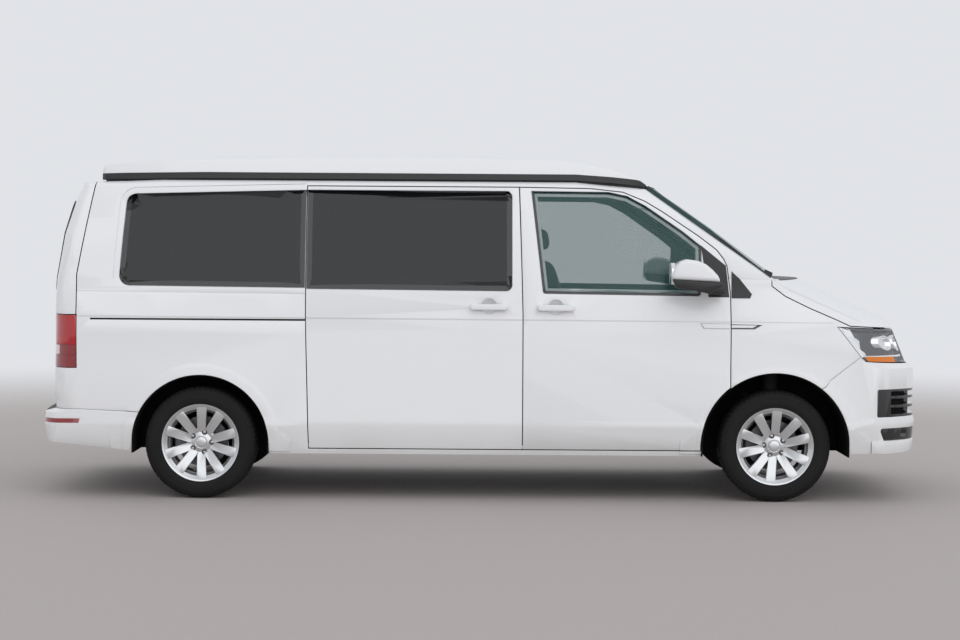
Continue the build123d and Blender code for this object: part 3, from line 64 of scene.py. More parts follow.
# Painted body panels: pressed steel doors, lids and sides under white paint with a clear coat.
# Each one is a smoothed copy of its construction solid with eased edges, and the faces that look
# into the cabin are finished as grey lining.
class Shade:
    """A socket in a material, so that shader maths reads as plain sums."""

    def __init__(self, tree, socket):
        self.tree = tree
        self.socket = socket

    def node(self, kind, settings=(), inputs=(), output=0):
        """Adds any node: its settings first, then the values or links of its sockets."""
        made = self.tree.nodes.new("ShaderNode" + kind)
        for name, value in dict(settings).items():
            if name == "stops":
                for i, (place, colour) in enumerate(value):
                    stop = made.color_ramp.elements[i] if i < 2 else made.color_ramp.elements.new(place)
                    stop.position = place
                    stop.color = colour
            else:
                setattr(made, name, value)
        for name, value in dict(inputs).items():
            if isinstance(value, Shade):
                self.tree.links.new(value.socket, made.inputs[name])
            else:
                made.inputs[name].default_value = value
        return Shade(self.tree, made.outputs[output])

    def maths(self, operation, *values):
        return self.node("Math", {"operation": operation}, dict(enumerate((self,) + values)))

    def __add__(self, other):
        return self.maths("ADD", other)

    __radd__ = __add__

    def __sub__(self, other):
        return self.maths("SUBTRACT", other)

    def __rsub__(self, other):
        return self * -1.0 + other

    def __mul__(self, other):
        return self.maths("MULTIPLY", other)

    __rmul__ = __mul__

    def above(self, edge, width):
        """0 below an edge and 1 above it, with a soft step of that width."""
        return self.node("MapRange", {"interpolation_type": "SMOOTHSTEP"},
                         {"Value": self, "From Min": edge - width / 2, "From Max": edge + width / 2})

    def axis(self, name):
        """One coordinate of a place."""
        return self.node("SeparateXYZ", (), {0: self}, output="XYZ".index(name))

    def noise(self, scale, detail=2.0):
        return self.node("TexNoise", (), {"Vector": self, "Scale": scale, "Detail": detail})

    def between(self, low, high):
        """Two colours mixed by this mask."""
        return self.node("Mix", {"data_type": "RGBA"}, {0: self, 6: (*low, 1), 7: (*high, 1)}, output=2)


class Finish:
    """A named material, with calls that link its shader's sockets. It keeps a slot's name, which is not
    given to any piece.
    """

    def __init__(self, name, slot, colour, roughness, metallic=0.0, coat=0.0, alpha=1.0):
        self.slot = slot
        self.material = bpy.data.materials.new(name)
        self.material.use_nodes = True
        tree = self.material.node_tree
        self.shader = tree.nodes["Principled BSDF"]
        self.set("Base Color", (*colour, 1))
        self.set("Roughness", roughness)
        self.set("Metallic", metallic)
        self.set("Coat Weight", coat)
        self.set("Coat Roughness", 0.03)
        self.set("Alpha", alpha)
        self.place = Shade(tree, tree.nodes.new("ShaderNodeTexCoord").outputs["Object"])

    def set(self, socket, value):
        if isinstance(value, Shade):
            self.material.node_tree.links.new(value.socket, self.shader.inputs[socket])
        else:
            self.shader.inputs[socket].default_value = value

    def bump(self, height):
        """Raises the surface by a height in metres."""
        self.set("Normal", height.node("Bump", (), {"Height": height, "Distance": 1.0, "Strength": 1.0}))

    def grain(self, scale, height):
        """Roughens the surface with a noise."""
        self.bump(self.place.noise(scale) * height)

    def ridges(self, axis, scale, height):
        """Raises even ridges along one axis."""
        self.bump((self.place.axis(axis) * scale).maths("SINE") * height)

    def mottle(self, low, high, scale, grain_scale, grain):
        """Patches the colour between two tones and roughens the surface with a fine grain."""
        self.set("Base Color", self.place.noise(scale, 4.0).between(low, high))
        self.grain(grain_scale, grain)

    def cover(self, *pieces):
        for piece in pieces:
            piece.data.materials.clear()
            piece.data.materials.append(self.material)
            "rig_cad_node" not in piece

    def mark(self, piece, chosen):
        """Gives this finish to the faces that a test picks by their centre and normal."""
        piece.data.materials.append(self.material)
        last = len(piece.data.materials) - 1
        for face in piece.data.polygons:
            if chosen(face.center, face.normal):
                face.material_index = last


MERGE = 0.0002
FLAT = math.radians(0.3)
SMOOTH = math.radians(24)
SHARP = math.radians(35)
NODE_BODY = {
    node: body for body, nodes in frame["record"]["behaviour"]["bodies"].items() for node in nodes
}


def only(piece):
    """Selects one piece and nothing else."""
    bpy.ops.object.select_all(action="DESELECT")
    piece.select_set(True)
    bpy.context.view_layer.objects.active = piece


def apply(piece, kind, **settings):
    """Adds a modifier with its settings and applies it."""
    only(piece)
    modifier = piece.modifiers.new("step", kind)
    for name, value in settings.items():
        setattr(modifier, name, value)
    bpy.ops.object.modifier_apply(modifier="step")
    return piece


def smooth(piece, angle=SMOOTH):
    only(piece)
    bpy.ops.object.shade_smooth_by_angle(angle=angle)
    return piece


def ease(piece, width, segments=2, angle=SHARP):
    """Rounds the edges sharper than an angle, unless that throws a corner off the surface."""
    sharp = piece.data.copy()
    skin = bpy.data.objects.new("skin", sharp)
    bpy.context.scene.collection.objects.link(skin)
    apply(piece, "BEVEL", width=width, segments=segments, limit_method="ANGLE", angle_limit=angle)
    bpy.context.view_layer.update()
    off = max((skin.closest_point_on_mesh(v.co)[1] - v.co).length for v in piece.data.vertices)
    bpy.data.objects.remove(skin)
    if off > width * 1.5:
        piece.data = sharp
    return smooth(piece)


def solid_copy(name, *nodes):
    """A copy of construction solids as one mesh, its loose triangles merged and its flats made whole."""
    bpy.ops.object.select_all(action="DESELECT")
    for node in nodes:
        piece = bpy.data.objects.new(name, frame["nodes"][node].data.copy())
        bpy.context.scene.collection.objects.link(piece)
        piece.select_set(True)
        bpy.context.view_layer.objects.active = piece
    if len(nodes) > 1:
        bpy.ops.object.join()
    piece = bpy.context.view_layer.objects.active
    piece.name = name
    piece.data.materials.clear()
    bpy.ops.object.mode_set(mode="EDIT")
    bpy.ops.mesh.select_all(action="SELECT")
    bpy.ops.mesh.remove_doubles(threshold=MERGE)
    bpy.ops.mesh.dissolve_limited(angle_limit=FLAT)
    bpy.ops.object.mode_set(mode="OBJECT")
    return piece


def dress(node, finish, edge=0.0):
    """Puts a smoothed and finished copy in a node's place."""
    piece = solid_copy(node + "_finished", node)
    if edge:
        ease(piece, edge)
    smooth(piece)
    finish.cover(piece)
    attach(piece, NODE_BODY[node])
    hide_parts(node)
    return piece


HEART_X = (-2.0, 1.9)
HEART_Z = 1.15


def outward(centre, normal):
    """How far a face of the body looks out of it, from -1 inwards to 1 outwards."""
    heart = Vector((max(HEART_X[0], min(HEART_X[1], centre.x)), 0.0, HEART_Z))
    return normal.dot((centre - heart).normalized())


WHITE = (0.80, 0.805, 0.815)
LOWER_TONE = (0.70, 0.70, 0.69)
CREASE = (1.077, 0.0027)
CREASE_STEP = 0.0038
paint = Finish("white_paint", "body_paint", WHITE, 0.3, coat=0.7)
height = paint.place.axis("Z")
# The white turns greyer towards the bottom, in noisy patches.
lower_tone_mask = (0.62 - height) * paint.place.noise(2.2, 4.0)
paint.set("Base Color", lower_tone_mask.above(0.17, 0.25).between(WHITE, LOWER_TONE))
side_only = paint.place.axis("Y").maths("ABSOLUTE").above(0.86, 0.02)
crease = (height - (CREASE[0] - CREASE[1] * paint.place.axis("X"))).above(-0.006, 0.012)
ARCHES = ((1.744, 0.33), (-1.656, 0.33))
ARCH_FLARE = (0.462, 0.030, 0.0045)
flare = 0.0
for x, z in ARCHES:
    far = paint.place.axis("X") - x
    up = height - z
    reach = (far * far + up * up).maths("SQRT")
    flare = (1 - reach.above(ARCH_FLARE[0], ARCH_FLARE[1])) + flare
paint.bump((crease * CREASE_STEP + flare * ARCH_FLARE[2]) * side_only + paint.place.noise(300.0) * 0.000004)

lining = Finish("grey_lining", "dashboard", (0.05, 0.052, 0.055), 0.7)
lining.mottle((0.045, 0.047, 0.05), (0.06, 0.062, 0.065), 3.0, 900.0, 0.00006)

PANEL_EDGE = 0.0012
for node in ("side_right", "side_left", "roof_shell", "sliding_door", "door_right", "door_left",
             "fenders", "front_bumper", "rear_bumper", "bonnet", "tailgate"):
    panel = dress(node, paint, PANEL_EDGE)
    lining.mark(panel, lambda centre, normal: outward(centre, normal) < -0.4)

dress("pop_top", paint, PANEL_EDGE)
# The faces along the sliding door's runner slot on the right side are painted near-black: painted shade
# inside the slot.
rail_slot = Finish("rail_slot", "black_trim", (0.01, 0.01, 0.01), 0.6)
rail_slot.grain(300.0, 0.00002)
RAIL = (-2.31, -1.03, 1.0555, 1.0685)
rail_slot.mark(bpy.data.objects["side_right_finished"], lambda centre, normal: RAIL[0] < centre.x < RAIL[1]
               and RAIL[2] < centre.z < RAIL[3] and centre.y < -0.9)


# Black mouldings: the band round the rising roof's foot, the cowl, the housings of the wheels,
# the door seals, and the corner covers and side strip clipped to the front doors and fenders.
black = Finish("black_moulding", "black_trim", (0.016, 0.016, 0.017), 0.42)
black.grain(700.0, 0.00004)
gloss_black = Finish("gloss_black", "black_trim", (0.008, 0.008, 0.009), 0.12, coat=0.6)
chrome = Finish("bright_trim", "steel", (0.78, 0.79, 0.8), 0.12, metallic=1.0)
chrome.grain(120.0, 0.000003)
felt = Finish("liner_felt", "black_trim", (0.02, 0.02, 0.021), 0.9)
felt.set("Specular IOR Level", 0.1)
felt.mottle((0.006, 0.006, 0.006), (0.012, 0.0115, 0.011), 9.0, 500.0, 0.0004)
dress("pop_top_band", black, 0.001)
dress("cowl_panel", black, 0.001)
liners = dress("wheel_liners", felt)
LINER_SKIRT = (0.335, 0.050)
for vertex in liners.data.vertices:
    if vertex.co.z < LINER_SKIRT[0]:
        vertex.co.z -= LINER_SKIRT[1]
dress("rubber_seals", Finish("seal_rubber", "rubber", (0.014, 0.014, 0.014), 0.6))


def cut(piece, point, out):
    """Cuts a piece by a plane and drops what lies beyond it."""
    only(piece)
    bpy.ops.object.mode_set(mode="EDIT")
    bpy.ops.mesh.select_all(action="SELECT")
    bpy.ops.mesh.bisect(plane_co=point, plane_no=out, clear_outer=True)
    bpy.ops.object.mode_set(mode="OBJECT")


def drop(piece, chosen):
    """Deletes the faces that a test picks by their centre and normal."""
    only(piece)
    bpy.ops.object.mode_set(mode="EDIT")
    bpy.ops.mesh.select_mode(type="FACE")
    bpy.ops.mesh.select_all(action="DESELECT")
    bpy.ops.object.mode_set(mode="OBJECT")
    for face in piece.data.polygons:
        face.select = chosen(face.center, face.normal)
    bpy.ops.object.mode_set(mode="EDIT")
    bpy.ops.mesh.delete(type="FACE")
    bpy.ops.object.mode_set(mode="OBJECT")


def moulding(name, nodes, outline, finish, proud, body, axis="y", side=-1, edge=0.0006):
    """A thin moulding on a panel: the panel's skin cut to an outline and thickened outwards.

    The outline is convex, as (x, z) on a side and as (y, z) at an end, in metres."""
    piece = solid_copy(name, *nodes)
    middle = sum((Vector(corner) for corner in outline), Vector((0, 0))) / len(outline)
    for start, end in zip(outline, outline[1:] + outline[:1]):
        out = Vector((end[1] - start[1], start[0] - end[0]))
        if out.dot(Vector(start) - middle) < 0:
            out = -out
        if axis == "y":
            cut(piece, (start[0], 0, start[1]), (out.x, 0, out.y))
        else:
            cut(piece, (0, start[0], start[1]), (0, out.x, out.y))
    which = "xy".index(axis)
    drop(piece, lambda centre, normal: centre[which] * side < 0.3 or outward(centre, normal) < 0.35)
    apply(piece, "SOLIDIFY", thickness=proud, offset=0.8)
    ease(piece, edge, 1)
    finish.cover(piece)
    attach(piece, body)
    return piece


DOOR_COVER = [(1.298, 1.517), (1.445, 1.398), (1.466, 1.212), (1.343, 1.212)]
FENDER_COVER = [(1.4785, 1.366), (1.530, 1.318), (1.600, 1.231), (1.588, 1.206), (1.4785, 1.206)]
DOOR_STRIP = [(1.291, 1.059), (1.466, 1.058), (1.466, 1.026), (1.312, 1.027)]
STRIP_TIP = [(1.4785, 1.057), (1.662, 1.055), (1.612, 1.026), (1.4785, 1.026)]
DOOR_PLATE = [(1.299, 1.0555), (1.466, 1.0545), (1.466, 1.0295), (1.317, 1.0305)]
TIP_PLATE = [(1.4785, 1.0495), (1.628, 1.0485), (1.600, 1.0335), (1.4785, 1.0335)]
STRIP_LINE = [(1.4785, 1.0575), (1.664, 1.0555), (1.660, 1.0525), (1.4785, 1.0545)]
strip_silver = Finish("strip_silver", "alloy", (0.42, 0.43, 0.44), 0.35, metallic=0.3)
strip_silver.grain(500.0, 0.00001)
for word, side in (("right", -1), ("left", 1)):
    door = "door_" + word
    moulding("corner_cover_" + door, (door,), DOOR_COVER, black, 0.003, door, side=side)
    moulding("corner_cover_" + word, ("fenders", "side_" + word), FENDER_COVER, black, 0.003, "body",
             side=side)
    moulding("strip_" + door, (door,), DOOR_STRIP, strip_silver, 0.003, door, side=side)
    moulding("strip_tip_" + word, ("fenders",), STRIP_TIP, gloss_black, 0.003, "body", side=side)
    moulding("strip_plate_" + door, (door,), DOOR_PLATE, paint, 0.0036, door, side=side)
    moulding("strip_plate_" + word, ("fenders",), TIP_PLATE, paint, 0.0036, "body", side=side)
    moulding("strip_line_" + word, ("fenders",), STRIP_LINE, chrome, 0.0042, "body", side=side)


# Window panes: toughened glass bonded into the panels, greenish in front and dark behind the
# doors, each with a black printed border that hides its glue. The border is an inset ring.
green = Finish("green_glass", "tinted_glass", (0.05, 0.15, 0.14), 0.02, coat=0.3, alpha=0.26)
dark_glass = Finish("dark_glass", "privacy_glass", (0.008, 0.009, 0.011), 0.03, alpha=0.86)
for glass in (green, dark_glass):
    glass.grain(3.0, 0.00002)
border = Finish("printed_border", "privacy_glass", (0.006, 0.006, 0.007), 0.1, coat=0.5)
border.grain(900.0, 0.000002)


def pane(node, glass, width):
    """A pane with its printed border, the border running round both faces and the edge."""
    piece = solid_copy(node + "_finished", node)
    glass.cover(piece)
    border.mark(piece, lambda centre, normal: True)
    only(piece)
    for sign in (1, -1):
        for face in piece.data.polygons:
            face.select = outward(face.center, face.normal) * sign > 0.3
        bpy.ops.object.mode_set(mode="EDIT")
        bpy.ops.mesh.select_mode(type="FACE")
        bpy.ops.mesh.inset(thickness=width, use_even_offset=False)
        bpy.context.object.active_material_index = 0
        bpy.ops.object.material_slot_assign()
        bpy.ops.mesh.select_all(action="DESELECT")
        bpy.ops.object.mode_set(mode="OBJECT")
    smooth(piece)
    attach(piece, NODE_BODY[node])
    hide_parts(node)
    return piece


pane("windscreen", green, 0.035)
pane("door_glass_right", green, 0.014)
pane("door_glass_left", green, 0.014)
pane("side_windows", dark_glass, 0.03)
pane("tailgate_glass", dark_glass, 0.035)


# Grilles: black moulded frames with ribs and bars in the nose, bare of any sign. The fog lamps
# are the round solids in the lowest strip, their fronts finished as bright reflectors.
lamp_glass = Finish("clear_lens", "lamp_lens", (0.9, 0.92, 0.94), 0.02, coat=0.3, alpha=0.08)
bright = Finish("lamp_reflector", "lamp_housing", (0.82, 0.83, 0.85), 0.14, metallic=0.9)
bright.grain(60.0, 0.0001)
FOG_Y, FOG_Z, FOG_R = 0.8, 0.373, 0.024
grille = dress("grilles", gloss_black, 0.0008)
bright.mark(grille, lambda centre, normal: normal.x > 0.7 and math.hypot(
    abs(centre.y) - FOG_Y, centre.z - FOG_Z) < FOG_R - 0.004)


# Headlamps: a dark bowl behind a clear cover, with two bright reflector tubes, a slanted light
# guide at the rear edge, a lower light strip and an amber strip under them.
bowl = Finish("lamp_bowl", "lamp_housing", (0.03, 0.032, 0.036), 0.25, metallic=0.4)
bowl.grain(300.0, 0.00003)
guide = Finish("light_guide", "lamp_housing", (0.86, 0.88, 0.9), 0.25, coat=0.5)
guide.ridges("Z", 700.0, 0.0002)
amber = Finish("amber_lens", "lamp_housing", (0.72, 0.19, 0.008), 0.15, coat=0.3)
amber.ridges("Y", 900.0, 0.0002)
TUBES = ((0.705, 0.940, 0.049), (0.820, 0.945, 0.045))
lamp = dress("headlamps", bowl, 0.0008)
bright.mark(lamp, lambda centre, normal: any(
    math.hypot(abs(centre.y) - y, centre.z - z) < r for y, z, r in TUBES) and centre.x > 2.18)
GUIDE_LINE = ((2.148, 1.03), (2.251, 0.866))
GUIDE_HALF = 0.03


def on_guide(centre, normal):
    """Whether a face belongs to the slanted guide or to the lower strip."""
    (x0, z0), (x1, z1) = GUIDE_LINE
    along = x0 + (x1 - x0) * (centre.z - z0) / (z1 - z0)
    slanted = abs(centre.x - along) < GUIDE_HALF and 0.868 < centre.z < 1.03
    lower = 0.861 < centre.z < 0.873 and centre.x > 2.26
    return (slanted or lower) and outward(centre, normal) > 0.3


guide.mark(lamp, on_guide)
dress("headlamp_lenses", lamp_glass, 0.0006)
AMBER_STRIP = [(2.262, 0.868), (2.44, 0.864), (2.45, 0.830), (2.290, 0.834)]
for word, side in (("right", -1), ("left", 1)):
    moulding("amber_strip_" + word, ("headlamp_lenses",), AMBER_STRIP, amber, 0.002, "body", side=side)


# Tail lamps and reflectors: red mouldings at the rear corners, a reflector strip in the bumper
# and a high brake lamp under the roof's rear edge.
tail_red = Finish("tail_red", "tail_lamp", (0.5, 0.008, 0.012), 0.1, coat=0.9)
tail_red.set("Base Color", tail_red.place.axis("Z").above(0.905, 0.006).between(
    (0.24, 0.004, 0.007), (0.42, 0.006, 0.01)))
tail_red.ridges("Z", 520.0, 0.00008)
clear_red = Finish("tail_clear", "tail_lamp", (0.75, 0.62, 0.62), 0.1, coat=0.9)
clear_red.ridges("Y", 520.0, 0.00025)
tail = dress("tail_lamps", tail_red, 0.0012)
clear_red.mark(tail, lambda centre, normal: 0.85 < centre.z < 0.903 and centre.x < -2.5 and normal.x < -0.5)
REFLECTOR = [(-2.66, 0.472), (-2.375, 0.472), (-2.382, 0.446), (-2.66, 0.446)]
for word, side in (("right", -1), ("left", 1)):
    moulding("reflector_" + word, ("rear_bumper",), REFLECTOR, tail_red, 0.002, "body", side=side)
moulding("high_brake_lamp", ("tailgate",), [(-0.16, 1.822), (0.16, 1.822), (0.155, 1.796), (-0.155, 1.796)],
         tail_red, 0.006, "tailgate", axis="x", edge=0.0015)


# Tyres: 215 millimetres wide on 17 inch wheels, in black rubber. The carcass is turned from its
# section, and the tread is five rows of blocks moulded on it, repeated round the wheel.
def turned(name, centre, profile, steps=96, angle=2 * math.pi):
    """Turns a section round a wheel's axle: (radius, distance outwards) in metres, from the right side."""
    bpy.ops.object.select_all(action="DESELECT")
    bpy.ops.mesh.primitive_plane_add(size=0.01)
    piece = bpy.context.object
    piece.name = name
    bpy.ops.object.mode_set(mode="EDIT")
    bpy.ops.mesh.select_mode(type="VERT")
    bpy.ops.mesh.merge(type="CENTER")
    points = [Vector((centre[0] + r, centre[1] - out, centre[2])) for r, out in profile]
    bpy.ops.transform.translate(value=points[0])
    for last, point in zip(points, points[1:]):
        bpy.ops.mesh.extrude_region_move(TRANSFORM_OT_translate={"value": point - last})
    bpy.ops.mesh.select_all(action="SELECT")
    bpy.ops.mesh.spin(steps=steps, angle=angle, center=centre, axis=(0, 1, 0))
    bpy.ops.mesh.select_all(action="SELECT")
    bpy.ops.mesh.remove_doubles(threshold=0.00005)
    bpy.ops.mesh.normals_make_consistent(inside=False)
    bpy.ops.object.mode_set(mode="OBJECT")
    return piece


def prism(name, outline, low, high, view="side"):
    """A solid with a drawn outline: a disc's rim is moved to the outline's corners and extruded.

    The outline is (x, z) from the side, (y, z) from the end or (x, y) from above."""
    bpy.ops.object.select_all(action="DESELECT")
    bpy.ops.mesh.primitive_circle_add(vertices=len(outline), fill_type="NGON")
    piece = bpy.context.object
    piece.name = name
    for vertex, (a, b) in zip(piece.data.vertices, outline):
        vertex.co = {"side": (a, low, b), "end": (low, a, b), "top": (a, b, low)}[view]
    along = {"side": (0, high - low, 0), "end": (high - low, 0, 0), "top": (0, 0, high - low)}[view]
    bpy.ops.object.mode_set(mode="EDIT")
    bpy.ops.mesh.select_all(action="SELECT")
    bpy.ops.mesh.extrude_region_move(TRANSFORM_OT_translate={"value": along})
    bpy.ops.mesh.select_all(action="SELECT")
    bpy.ops.mesh.normals_make_consistent(inside=False)
    bpy.ops.object.mode_set(mode="OBJECT")
    return piece


def joined(name, *pieces):
    bpy.ops.object.select_all(action="DESELECT")
    for piece in pieces:
        piece.select_set(True)
    bpy.context.view_layer.objects.active = pieces[0]
    bpy.ops.object.join()
    pieces[0].name = name
    return pieces[0]


def ring_of(piece, centre, copies):
    """Repeats a piece round a wheel's axle, doubling it while that comes out even."""
    only(piece)
    bpy.ops.object.mode_set(mode="EDIT")
    done = 1
    while done < copies:
        bpy.ops.mesh.select_all(action="SELECT")
        bpy.ops.mesh.duplicate()
        bpy.ops.transform.rotate(value=2 * math.pi * done / copies, orient_axis="Y", center_override=centre)
        done *= 2
    bpy.ops.object.mode_set(mode="OBJECT")
    return piece


def repeated(piece, name, move, flip, turn=0.0):
    """A copy with a mesh of its own, turned on the hub, moved along the van and mirrored if asked."""
    twin = bpy.data.objects.new(name, piece.data.copy())
    bpy.context.scene.collection.objects.link(twin)
    if turn:
        on_hub = Matrix.Translation(HUB) @ Matrix.Rotation(turn, 4, "Y") @ Matrix.Translation(-HUB)
        twin.data.transform(on_hub)
    twin.data.transform(Matrix.Translation((move, 0, 0)) @ Matrix.Diagonal((1, -1 if flip else 1, 1, 1)))
    if flip:
        twin.data.flip_normals()
    return twin


FRONT_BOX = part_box("tyre_front_right")
REAR_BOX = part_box("tyre_rear_right")
HUB = (FRONT_BOX[0] + FRONT_BOX[1]) / 2
AXLE_STEP = (REAR_BOX[0].x + REAR_BOX[1].x) / 2 - HUB.x
CORNERS = (
    ("front_right", 0.0, False), ("front_left", 0.0, True),
    ("rear_right", AXLE_STEP, False), ("rear_left", AXLE_STEP, True),
)
SIDEWALL = [
    (0.2046, 0.077), (0.2140, 0.0835), (0.2236, 0.0905), (0.2250, 0.0960), (0.2290, 0.0995),
    (0.2330, 0.1005), (0.2350, 0.0995), (0.2450, 0.1040), (0.2580, 0.1065), (0.2700, 0.1070),
    (0.2840, 0.1058), (0.2900, 0.1050), (0.2915, 0.1062), (0.2945, 0.1058), (0.2955, 0.1040),
    (0.3040, 0.1005), (0.3120, 0.0960), (0.3185, 0.0890), (0.3215, 0.0820), (0.3225, 0.0700),
]
INNER_WALL = [(0.302, 0.076), (0.2046, 0.063)]
RIBS = (
    ([(-0.011, 0.3215), (0.011, 0.3215), (0.011, 0.3299), (-0.011, 0.3299)], 0.3),
    ([(0.017, 0.3215), (0.044, 0.3215), (0.044, 0.3294), (0.017, 0.3298)], 0.35),
    ([(0.050, 0.3215), (0.092, 0.3120), (0.096, 0.3150), (0.088, 0.3235), (0.074, 0.3280),
      (0.050, 0.3292)], -0.3),
)
BLOCKS = 64
BLOCK_LENGTH = 0.026
rubber = Finish("tyre_rubber", "tyre", (0.022, 0.022, 0.023), 0.72)
rubber.set("Specular IOR Level", 0.2)
rubber.set("Base Color", rubber.place.noise(6.0, 4.0).between((0.009, 0.009, 0.010), (0.017, 0.0165, 0.016)))
rubber.grain(600.0, 0.00005)
half = SIDEWALL + [(0.3225, 0.0)]
inside = [(r, -out) for r, out in INNER_WALL[::-1]] + INNER_WALL
section = half + [(r, -out) for r, out in half[-2::-1]] + inside
carcass = turned("tyre_carcass", HUB, section + section[:1])
parts = [carcass]
for outline, slant in RIBS:
    for side in (1, -1):
        shape = [(HUB.y + side * a, HUB.z + b) for a, b in outline]
        lug = prism("block", shape, HUB.x - BLOCK_LENGTH / 2, HUB.x + BLOCK_LENGTH / 2, "end")
        for vertex in lug.data.vertices:
            vertex.co.x += slant * (vertex.co.y - HUB.y - side * outline[0][0])
        ease(lug, 0.0008, 1)
        parts.append(ring_of(lug, HUB, BLOCKS))
tyre = joined("tyre_model", *parts)
smooth(tyre, SHARP)
rubber.cover(tyre)
for corner, move, flip in CORNERS:
    twin = repeated(tyre, f"tyre_{corner}_finished", move, flip)
    rubber.cover(twin)
    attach(twin, "wheel_" + corner)
    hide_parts("tyre_" + corner)
bpy.data.objects.remove(tyre)


# Wheels: cast aluminium with ten spokes in five pairs, painted silver, five bolts in recesses and
# a bare centre cap. The recesses are dark grey discs round the bolts: painted shade. Brake discs
# turn behind the spokes; their calipers stay with knuckles and body.
silver = Finish("silver_alloy", "alloy", (0.64, 0.65, 0.66), 0.27, metallic=0.75, coat=0.4)
silver.grain(900.0, 0.00001)
disc_steel = Finish("disc_steel", "steel", (0.12, 0.12, 0.125), 0.4, metallic=1.0)
disc_steel.grain(260.0, 0.00004)
bolt_steel = Finish("bolt_steel", "steel", (0.5, 0.5, 0.52), 0.3, metallic=1.0)
bolt_steel.grain(400.0, 0.00002)
# Dark grey for the bolt recesses: painted shade in the hollows round the bolts.
recess_shade = Finish("recess_grey", "alloy", (0.09, 0.09, 0.095), 0.45, metallic=0.5)
recess_shade.grain(500.0, 0.00003)
BARREL = [
    (0.2300, 0.0995), (0.2325, 0.0960), (0.2300, 0.0925), (0.2180, 0.0900), (0.2130, 0.0860),
    (0.2040, 0.0760), (0.2035, 0.0620), (0.1900, 0.0480), (0.1900, -0.0500), (0.2030, -0.0620),
    (0.2040, -0.0900), (0.2200, -0.0960), (0.2200, -0.0990), (0.2120, -0.0990), (0.1980, -0.0920),
    (0.1970, -0.0640), (0.1840, -0.0520), (0.1840, 0.0500), (0.1960, 0.0640), (0.1990, 0.0800),
    (0.2110, 0.0890), (0.2190, 0.0955), (0.2230, 0.0985), (0.2300, 0.0995),
]
HUB_FACE = [
    (0.0, 0.0560), (0.034, 0.0560), (0.038, 0.0575), (0.043, 0.0550), (0.074, 0.0490), (0.086, 0.0400),
    (0.086, 0.0250), (0.0, 0.0250),
]
DISC = [
    (0.0, 0.0120), (0.070, 0.0120), (0.076, 0.0040), (0.078, -0.0120), (0.150, -0.0120), (0.151, -0.0140),
    (0.151, -0.0340), (0.150, -0.0360), (0.0, -0.0360),
]
FIRST_SPOKE = 18
SPOKE_STEP = 72
SPOKE_DEPTH = (0.040, 0.072)
SPOKE_BEND_R = 0.09
SPOKE_PAIR = math.radians(16.5)
SPOKE_EDGE = ((0.045, 0.020), (0.080, 0.0245), (0.150, 0.0275), (0.2225, 0.0315))
BOLT_CIRCLE_R = 0.062
barrel = smooth(turned("barrel", HUB, BARREL, 120), SHARP)
hub_face = smooth(turned("hub_face", HUB, HUB_FACE, 60), SHARP)
spokes = []
for k in range(5):
    for half_angle in (SPOKE_PAIR, -SPOKE_PAIR):
        angle = math.radians(FIRST_SPOKE + SPOKE_STEP * k) + half_angle
        along = Vector((math.sin(angle), 0, math.cos(angle)))
        across = Vector((along.z, 0, -along.x))
        corners = [along * r + across * w for r, w in SPOKE_EDGE]
        corners += [along * r - across * w for r, w in SPOKE_EDGE[::-1]]
        spoke = prism("spoke", [(HUB.x + c.x, HUB.z + c.z) for c in corners], HUB.y - SPOKE_DEPTH[0],
                      HUB.y - SPOKE_DEPTH[1])
        for vertex in spoke.data.vertices:
            r = math.hypot(vertex.co.x - HUB.x, vertex.co.z - HUB.z)
            outer = max(0.0, (r - SPOKE_BEND_R) / 0.135)
            vertex.co.y += -0.020 * outer + 0.030 * max(0.0, (SPOKE_BEND_R - r) / 0.045)
        spokes.append(ease(spoke, 0.005, 3))
spokes = smooth(joined("spokes", *spokes), SHARP)
rim_model = joined("rim_model", barrel, hub_face, spokes)
disc_model = smooth(turned("disc_model", HUB, DISC, 72), SHARP)
FRONT_TURN = math.radians(-31)
for corner, move, flip in CORNERS:
    rim = repeated(rim_model, f"rim_{corner}_finished", move, flip, 0.0 if move else FRONT_TURN)
    silver.cover(rim)
    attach(rim, "wheel_" + corner)
    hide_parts("rim_" + corner)
    disc = repeated(disc_model, "brake_disc_" + corner, move, flip)
    disc_steel.cover(disc)
    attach(disc, "wheel_" + corner)
bpy.data.objects.remove(rim_model)
bpy.data.objects.remove(disc_model)

RECESS = [(0.0, 0.0), (0.0135, 0.0), (0.0150, 0.0025), (0.0165, 0.0), (0.0165, -0.006), (0.0, -0.006)]
BOLT_R = 0.0085
BOLT_SPAN = (0.048, 0.0595)
CAP_PROFILE = [
    (0.0, 0.0665), (0.012, 0.0664), (0.024, 0.0655), (0.030, 0.0636), (0.0325, 0.061), (0.0325, 0.055),
    (0.0, 0.055),
]
bolts = []
recesses = []
for k in range(5):
    angle = math.radians(FIRST_SPOKE + SPOKE_STEP * k)
    middle = Vector((math.sin(angle), 0, math.cos(angle))) * BOLT_CIRCLE_R + HUB
    corners = [math.radians(60 * n + SPOKE_STEP * k) for n in range(6)]
    head = [(middle.x + BOLT_R * math.cos(a), middle.z + BOLT_R * math.sin(a)) for a in corners]
    bolts.append(ease(prism("bolt", head, HUB.y - BOLT_SPAN[0], HUB.y - BOLT_SPAN[1]), 0.0015))
    middle.y = HUB.y - 0.0545
    recesses.append(turned("recess", middle, RECESS, 28))
bolts = joined("bolt_set", *bolts)
recesses = smooth(joined("recess_set", *recesses))
cap = smooth(turned("cap", HUB, CAP_PROFILE, 48))
for corner, move, flip in CORNERS:
    for model, finish, name in ((bolts, bolt_steel, "wheel_bolts_"), (recesses, recess_shade, "bolt_recesses_"),
                                (cap, silver, "wheel_cap_")):
        twin = repeated(model, name + corner, move, flip, 0.0 if move else FRONT_TURN)
        finish.cover(twin)
        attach(twin, "wheel_" + corner)

